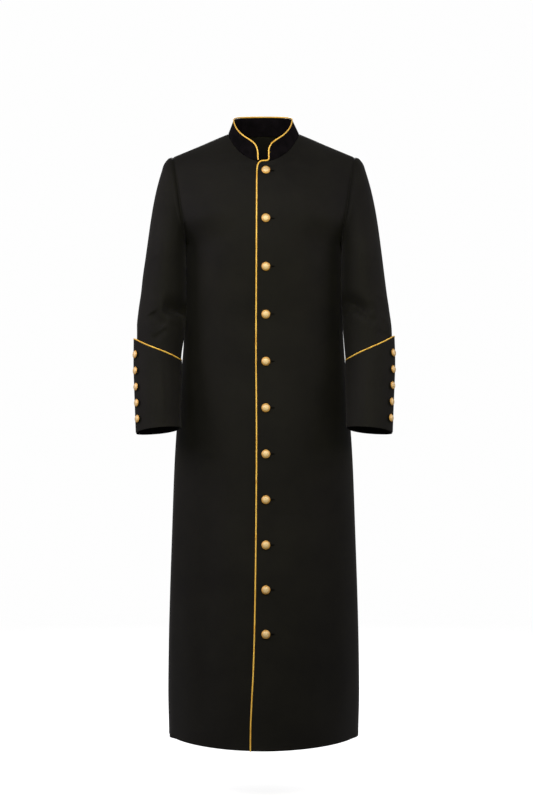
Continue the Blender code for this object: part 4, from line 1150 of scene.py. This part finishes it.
# creases: three places (degrees round the arm, share of the way down), half width and height
cuffFolds = {
    "cuff_right": (
        ((100, 0.08), (104, 0.45), (108, 0.94), 0.0070, 0.0012),
        ((76, 0.20), (80, 0.55), (78, 0.96), 0.0110, -0.0010),
        ((132, 0.10), (138, 0.50), (136, 0.90), 0.0110, -0.0014),
        ((196, 0.15), (206, 0.50), (204, 0.92), 0.0120, -0.0018),
        ((262, 0.10), (256, 0.45), (268, 0.85), 0.0100, -0.0014)),
    "cuff_left": (
        ((98, 0.10), (102, 0.50), (104, 0.95), 0.0080, 0.0010),
        ((72, 0.15), (76, 0.55), (74, 0.96), 0.0110, -0.0010),
        ((130, 0.05), (134, 0.45), (138, 0.92), 0.0110, -0.0013),
        ((204, 0.12), (198, 0.55), (208, 0.90), 0.0120, -0.0018),
        ((266, 0.12), (258, 0.50), (264, 0.88), 0.0100, -0.0013)),
}


# a place on the cuff, lifted off it along the ellipse's own outward direction
def cuffPoint(side, share, angle, lift=0.0):
    lines = cuff["lines"]
    wide, deep = readColumns(lines, "halfWidth halfDepth", share)
    turn = np.radians(angle)
    out = unit(stackXyz(side * np.cos(turn) / wide, -np.sin(turn) / deep, 0))
    return armLine(lines, side, share, angle) + out * np.asarray(lift)[..., None]


# how far the cuff sinks towards its end that lies under the placket
def placketSink(angle):
    under = cuff["placketAngle"] + 360
    return body["lapStep"] * ease((angle - under) / cuff["placketBlend"] + 1)


def addCuff(name, side):
    first = cuff["placketAngle"]
    angle = np.linspace(first, first + 360 + cuff["placketOverlap"], cuff["columns"] + 1)
    share = np.linspace(0, 1, cuff["rows"] + 1)[:, None]
    scale = (arm["degree"], cuff["length"])
    lift = foldHeight(angle * scale[0], share * scale[1], cuffFolds[name], scale)
    grid = cuffPoint(side, share, angle, lift - placketSink(angle))
    addMesh(name, shellParts(grid, cuff["cloth"], flip=side < 0), wool)


addCuff("cuff_left", 1)
addCuff("cuff_right", -1)
print("cuffs made")


collar = {
    "cloth": 0.0026,             # stiffened
    "rows": 22,
    "columns": (14, 84),         # round the front corner and from there to the centre back
    "crowding": 1.6,             # of the corner's columns towards the front
    "cornerEnd": 15.5,           # degrees round the neck
    "lean": -0.0016,             # how far to the wearer's right its upper edge sits
    "top": chart(
        "angle halfWidth depth drop",
        (9.8, 0.0144, -0.0826, 0.0345), (12.5, 0.0183, -0.0815, 0.0335),
        (15.5, 0.0224, -0.0796, 0.0309), (20.0, 0.0284, -0.0768, 0.0259),
        (27.0, 0.0368, -0.0718, 0.0199), (36.0, 0.0468, -0.0635, 0.0124),
        (44.0, 0.0540, -0.0550, 0.0054), (54.0, 0.0606, -0.0440, -0.0032),
        (65.0, 0.0652, -0.0320, -0.0118), (78.0, 0.0688, -0.0190, -0.0215),
        (90.0, 0.0703, -0.0070, -0.0300), (112.0, 0.0658, 0.0230, -0.0385),
        (145.0, 0.0400, 0.0530, -0.0440), (180.0, 0.0000, 0.0640, -0.0460)),
    "corner": chart(
        "angle height",
        (9.8, 0.61), (10.7, 0.76), (12.5, 0.91), (15.5, 1.00), (180.0, 1.00)),
}


# straight from its seam up to its upper edge, and lower at its rounded front corners
def collarGrid():
    start, cornerEnd = body["collarStart"], collar["cornerEnd"]
    share = np.linspace(0, 1, collar["columns"][0]) ** collar["crowding"]
    angle = np.concatenate([start + (cornerEnd - start) * share,
                            np.linspace(cornerEnd, 180, collar["columns"][1])[1:]])
    controls = np.where((angle <= 90)[:, None, None],
                        girthControls("front", neckLevel("front", angle)),
                        girthControls("back", neckLevel("back", 180 - angle)))
    base = beside(controls[:, 0], controls[:, 1], body["seamGap"])
    halfWidth, depth, drop = readColumns(collar["top"], "halfWidth depth drop", angle)
    top = stackXyz(halfWidth, depth, -drop)
    height = readChart(collar["corner"], "height", angle)[:, None]
    up = np.linspace(0, 1, collar["rows"] + 1)[:, None, None]
    halves = []
    for side in (-1, 1):
        seam, edge = base * (side, 1, 1), top * (side, 1, 1) + (collar["lean"], 0, 0)
        halves.append(seam + (edge - seam) * height * up)
    return np.concatenate([halves[0], halves[1][:, -2::-1]], axis=1)


# a line set outside an edge of cloth, away from the line inside it
def beside(edge, inner, distance):
    return edge + squareTo(unit(onwards(edge)), edge - inner) * distance


# a tape inside the neck seam: a line on the body below it and two up the collar's inner face
def neckTape(grid):
    normals = -gridNormals(grid)
    inside = collar["cloth"] - body["cloth"] + tape["collarClear"]
    flat = grid[0] * (1, 1, 0)
    outward = unit(flat - flat.mean(axis=0))
    below = grid[0] - (grid[2] - grid[0]) * tape["neckReach"] + normals[0] * tape["neckLift"]
    lines = [below - outward * tape["neckInset"], grid[0] - normals[0] * inside,
             grid[2] - normals[2] * inside]
    ends = slice(4, -4)      # it stops short of the collar's free ends
    away = [normal[ends] for normal in (outward, normals[0], normals[2])]
    return tapeParts([line[ends] for line in lines], away, tape["neckCount"])


collarSheet = collarGrid()
collarWall = shellParts(collarSheet, collar["cloth"], flip=True)
addMesh("collar", joined(collarWall, neckTape(collarSheet)), velvet)
print("collar made")


piping = {
    "radius": 0.0013,
    "gap": 0.0005,               # between an edge of cloth and the cord's round part
    "tongue": 0.50,              # the cord's cover tapers to the cloth's edge, in radii
    "tongueWide": 0.55,          # radians round the cord
    "sides": 18,
    "step": 0.0021,
    "softening": 3,
    "cuffRun": 357.4,            # degrees round the cuff
    "cuffPoints": 260,
    "endGap": 0.0006,            # between the front's piping and the collar's
    "endRows": 20,               # only this many rows of the front can reach that far
}


# the cord's profile: a circle that tapers to a tongue towards the cloth's edge
def cordProfile():
    cosine, sine = circle(piping["sides"])
    taper = hump(np.arccos(cosine), piping["tongueWide"])
    radius = piping["radius"] * (1 + piping["tongue"] * taper)
    return np.stack([radius * cosine, radius * sine], axis=1)


# a path with domed ends: more points beyond both ends, and the share of the profile at each
def domedEnds(path, radius):
    along = unit(onwards(path))
    rings, tip = 5, 0.002
    beyond = np.sin(np.linspace(0, math.pi / 2, rings + 1))[:0:-1]
    first = path[0] - along[0] * radius * beyond[:, None]
    last = path[-1] + along[-1] * radius * beyond[::-1, None]
    share = np.sqrt(1 - beyond ** 2)
    size = np.concatenate([share, np.ones(len(path)), share[::-1]])
    return np.concatenate([first, path, last]), np.maximum(size, tip), rings


# a cord sewn along an edge of cloth, its corners softened by averaging over a short stretch
def addCord(name, path, edge):
    count = int(lengthAlong(path)[-1] / piping["step"])
    both = evenly(path, count, np.concatenate([path, edge], axis=1))
    for turn in range(piping["softening"]):
        both[1:-1] = both[1:-1] / 2 + (both[:-2] + both[2:]) / 4
    path, edge = both[:, :3], both[:, 3:]
    whole, size, extra = domedEnds(path, piping["radius"])
    towards = np.pad(edge - path, ((extra, extra), (0, 0)), mode="edge")
    points, quads, flat = tubeParts(whole, towards, cordProfile())
    points = whole[:, None] + (points - whole[:, None]) * size[:, None, None]
    closeMesh(addMesh(name, (points, quads, flat), goldCord))


# up the lapping edge, up one front end of the collar, round its top and down the other end
def addEdgePiping():
    reach = piping["radius"] + piping["gap"]
    nearLevel = frontRows(body["lapEdge"])[0]
    lap = leftGrid[:np.argmin(np.abs(nearLevel - body["neckShare"])) + 1]
    front = beside(lap[:, 0], lap[:, 1], reach)
    leftEnd = beside(collarSheet[:, -1], collarSheet[:, -2], reach)
    rightEnd = beside(collarSheet[:, 0], collarSheet[:, 1], reach)
    top = beside(collarSheet[-1, ::-1], collarSheet[-2, ::-1], reach)
    # the front's last points are left out where they pass the collar's end
    keep = front[:, 0] < leftEnd[2, 0] - piping["endGap"]
    keep[:-piping["endRows"]] = True
    parts = ((front[keep], lap[keep, 0]), (leftEnd[3:-2], collarSheet[3:-2, -1]),
             (top[1:-1], collarSheet[-1, -2:0:-1]), (rightEnd[-3:1:-1], collarSheet[-3:1:-1, 0]))
    path, edge = (np.concatenate(lines) for lines in zip(*parts))
    addCord("edge_piping", path, edge)


def addCuffPiping(name, side):
    first = cuff["placketAngle"]
    angle = np.linspace(first, first + piping["cuffRun"], piping["cuffPoints"])
    edge = cuffPoint(side, 0 * angle, angle, -cuff["cloth"] / 2 - placketSink(angle))
    addCord(name, edge + (0, 0, piping["radius"] + piping["gap"]), edge)


addEdgePiping()
addCuffPiping("cuff_piping_left", 1)
addCuffPiping("cuff_piping_right", -1)
print("piping made")


frontButtons = {
    "count": 11,
    "firstDrop": 0.0965,
    "step": 0.1134,
    "stepLoss": 0.00133,         # each step further down is this much shorter
    "lineX": 0.0052,
    "sides": 56,
    "profile": chart(
        "radius height",
        (0.0021, 0.0002), (0.0021, 0.0020), (0.0026, 0.0024), (0.0060, 0.0025),
        (0.0090, 0.0027), (0.0098, 0.0031), (0.0101, 0.0036), (0.0100, 0.0041),
        (0.0096, 0.0044), (0.0091, 0.0046), (0.0084, 0.0053), (0.0074, 0.0061),
        (0.0062, 0.0068), (0.0047, 0.0073), (0.0031, 0.00765), (0.0015, 0.00782),
        (0.0000, 0.00788)),
}

cuffButtons = {
    "count": 5,
    "angles": (34, 37),
    "shares": (0.155, 0.865),
    "sides": 48,
    "profile": chart(
        "radius height",
        (0.0020, 0.0002), (0.0019, 0.0028), (0.0024, 0.0034), (0.0060, 0.0036),
        (0.0082, 0.0038), (0.0089, 0.0042), (0.0091, 0.0047), (0.0088, 0.0051),
        (0.0083, 0.0054), (0.0076, 0.0061), (0.0065, 0.0068), (0.0051, 0.0074),
        (0.0035, 0.0079), (0.0017, 0.0081), (0.0000, 0.0082)),
}


# a smooth half profile turned round its axis, standing on the cloth at its seat
def addButton(name, sizes, seat, axis):
    axis, profile = unit(axis), sizes["profile"]
    rows = len(profile["radius"])
    key = {"row": np.arange(rows, dtype=float), **profile}
    where = np.linspace(0, rows - 1, 2 * rows - 1)      # each row, and one between
    radius, height = np.array(readColumns(key, "radius height", where))[..., None, None]
    across = unit(np.cross(axis, [0.0, 0.0, 1.0]))
    other = np.cross(axis, across)
    cosine, sine = circle(sizes["sides"])
    points = seat + radius * (cosine[:, None] * across + sine[:, None] * other) + height * axis
    quads = gridQuads(closedRound(gridIndex(points)))
    flat = np.stack([(points - seat) @ across, (points - seat) @ other], axis=-1).reshape(-1, 2)
    piece = addMesh(name, (points, quads, flat[quads.ravel()]), goldMetal)
    closeMesh(piece, apart=1e-6)


# the place and the outward direction of the lapping front at an x and a drop
def frontPlace(x, drop):
    under, top = body["underarmDrop"], body["frontLine"]["drop"][0]
    share = (under - drop) / (under - top) * body["neckShare"]
    level = np.where(drop >= under, under - drop, share)
    t = np.sign(x) * curveReach(girthControls("front", level), 0, np.abs(x) + 0 * drop)
    near = 0.01
    across = bodyPoints(1, "front", level, t + near) - bodyPoints(1, "front", level, t - near)
    up = bodyPoints(1, "front", level + near, t) - bodyPoints(1, "front", level - near, t)
    return bodyPoints(1, "front", level, t), unit(np.cross(across, up))


number = np.arange(frontButtons["count"])
drops = (frontButtons["firstDrop"] + number * frontButtons["step"]
         - number * (number - 1) / 2 * frontButtons["stepLoss"])
for n, (seat, axis) in enumerate(zip(*frontPlace(frontButtons["lineX"], drops))):
    addButton(f"button_front_{n + 1:02d}", frontButtons, seat, axis)

for label, side in (("left", 1), ("right", -1)):
    shares = np.linspace(*cuffButtons["shares"], cuffButtons["count"])
    angles = np.linspace(*cuffButtons["angles"], cuffButtons["count"])
    axes = np.cross(cuffPoint(side, shares, angles + 2) - cuffPoint(side, shares, angles - 2),
                    cuffPoint(side, shares + 0.02, angles) - cuffPoint(side, shares - 0.02, angles))
    axes *= np.sign(axes[:, :1] * side)
    for n, (seat, axis) in enumerate(zip(cuffPoint(side, shares, angles), axes)):
        addButton(f"button_cuff_{label}_{n + 1}", cuffButtons, seat, axis)


buttonholes = {
    "length": 0.0225,
    "startX": 0.0036,            # its end under the button, across from the centre line
    "halfWide": 0.00085,
    "thread": 0.00055,
    "ends": 0.35,                # how square its ends are: 1 is round
    "clear": 0.0001,             # above the cloth
    "points": 64,
    "threadSides": 8,
}


# a worked buttonhole: a ring of near-black thread round a long narrow slot, lying on the cloth. Its darkness is
# partly the thread's own black and partly painted shade of the slot
def addButtonhole(name, drop):
    cosine, sine = circle(buttonholes["points"])
    half = buttonholes["length"] / 2
    along = np.sign(cosine) * np.abs(cosine) ** buttonholes["ends"]
    x = buttonholes["startX"] + half + (half - buttonholes["halfWide"]) * along
    path, outward = frontPlace(x, drop - buttonholes["halfWide"] * sine)
    profile = np.stack(circle(buttonholes["threadSides"]), axis=1) * buttonholes["thread"]
    parts = tubeParts(path + outward * buttonholes["clear"], outward, profile, closed=True)
    closeMesh(addMesh(name, parts, threadWithSlotShade))


for n, drop in enumerate(drops):
    addButtonhole(f"buttonhole_front_{n + 1:02d}", drop)


studio = {
    "floorZ": -1.555,
    "floorColour": (0.22, 0.22, 0.22, 1),
    "floorGlow": 0.88,           # keeps the floor as pale as the backdrop
    "floorRadius": 14,
    "floorSides": 96,
    "floorFade": (1.8, 5.0),     # distances between which it fades into the backdrop
    "floorFinish": dict(roughness=0.9, specular=0.1),
    "backdrop": (0.99, 0.99, 0.99, 1),
    "ambient": 0.25,
    "camera": (0.00677, -5.5, -0.632),
    "lens": 104.21,
    "lights": (
        dict(name="high_key", at=(0.0, -2.1, 0.9), to=(0, 0, -0.3), size=(1.6, 0.8), watts=14,
             colour=(0.72, 0.57, 1.85)),
        dict(name="low_key", at=(0.0, -1.9, 0.25), to=(0, 0, -0.3), size=(1.6, 0.7), watts=35,
             colour=(1.12, 1.09, 0.60)),
        dict(name="left_key", at=(-1.7, -1.7, 0.8), to=(0, 0, -0.35), size=(0.9, 1.0), watts=13,
             colour=(0.91, 0.91, 1.24)),
        dict(name="right_key", at=(1.7, -1.7, 0.8), to=(0, 0, -0.35), size=(0.9, 1.0), watts=3,
             colour=(0.91, 0.91, 1.24)),
        dict(name="left_side", at=(-2.0, -0.5, 0.3), to=(0, 0, -0.35), size=(0.9, 1.2), watts=28,
             colour=(1.03, 0.91, 1.10)),
        dict(name="right_side", at=(2.0, -0.5, 0.3), to=(0, 0, -0.35), size=(0.9, 1.2), watts=18,
             colour=(1.03, 0.91, 1.10)),
        dict(name="back_key", at=(0.0, 3.3, 0.6), to=(0, 0, -0.6), size=(0.5, 2.2), watts=170,
             colour=(1, 1, 1))),
}


# plain light from all round, which the camera sees as a white backdrop
def addWorld(scene):
    scene.world = bpy.data.worlds.new("studio")
    scene.world.use_nodes = True
    tree = scene.world.node_tree
    seen = tree.nodes["Background"]
    seen.inputs["Color"].default_value = studio["backdrop"]
    felt = addNode(tree, "Background", {"Color": (1, 1, 1, 1), "Strength": studio["ambient"]})
    path = addNode(tree, "LightPath")
    mix = addNode(tree, "MixShader", {"Fac": path.outputs["Is Camera Ray"], 1: felt.outputs[0],
                                      2: seen.outputs[0]})
    tree.links.new(mix.outputs[0], tree.nodes["World Output"].inputs["Surface"])


def addLights(scene):
    for light in studio["lights"]:
        lamp = bpy.data.lights.new(light["name"], "AREA")
        lamp.shape, lamp.energy, lamp.color = "RECTANGLE", light["watts"], light["colour"]
        lamp.size, lamp.size_y = light["size"]
        holder = bpy.data.objects.new(light["name"], lamp)
        holder.location = light["at"]
        look = Vector(light["to"]) - Vector(light["at"])
        holder.rotation_euler = look.to_track_quat("-Z", "Y").to_euler()
        holder.visible_camera = False
        scene.collection.objects.link(holder)


def addCamera(scene):
    camera = bpy.data.cameras.new("camera")
    camera.lens, camera.sensor_width, camera.sensor_fit = studio["lens"], 36.0, "AUTO"
    camera.clip_end = 200
    scene.camera = bpy.data.objects.new("camera", camera)
    scene.camera.location, scene.camera.rotation_euler = studio["camera"], (math.pi / 2, 0, 0)
    scene.collection.objects.link(scene.camera)
    scene.view_settings.view_transform = "Standard"
    scene.view_settings.look = "None"


# a pale floor that glows for the camera only, and fades into the backdrop further off
def addFloor(scene):
    cosine, sine = circle(studio["floorSides"])
    points = stackXyz(cosine, sine, 0) * studio["floorRadius"] + (0, 0, studio["floorZ"])
    mesh = bpy.data.meshes.new("floor_mesh")
    mesh.from_pydata(points, [], [range(len(points))])
    material, tree, shader = newMaterial("pale_floor", studio["floorFinish"])
    path = addNode(tree, "LightPath")
    glow = addNode(tree, "Math", {0: path.outputs["Is Camera Ray"], 1: studio["floorGlow"]},
                   operation="MULTIPLY")
    coords = addNode(tree, "TexCoord")
    distance = addNode(tree, "VectorMath", {0: coords.outputs["Object"]}, operation="LENGTH")
    fadeFrom, fadeTo = studio["floorFade"]
    fade = addNode(tree, "MapRange", {"Value": distance.outputs["Value"], "From Min": fadeFrom,
                                      "From Max": fadeTo, "To Min": 1.0, "To Max": 0.0},
                   interpolation_type="SMOOTHSTEP")
    setInputs(tree, shader, {
        "Base Color": studio["floorColour"], "Emission Color": (1, 1, 1, 1),
        "Emission Strength": glow.outputs[0], "Alpha": fade.outputs["Result"]})
    mesh.materials.append(material)
    floor = bpy.data.objects.new("floor", mesh)
    scene.collection.objects.link(floor)


scene = bpy.context.scene
addWorld(scene)
addLights(scene)
addCamera(scene)
addFloor(scene)
print("studio made")
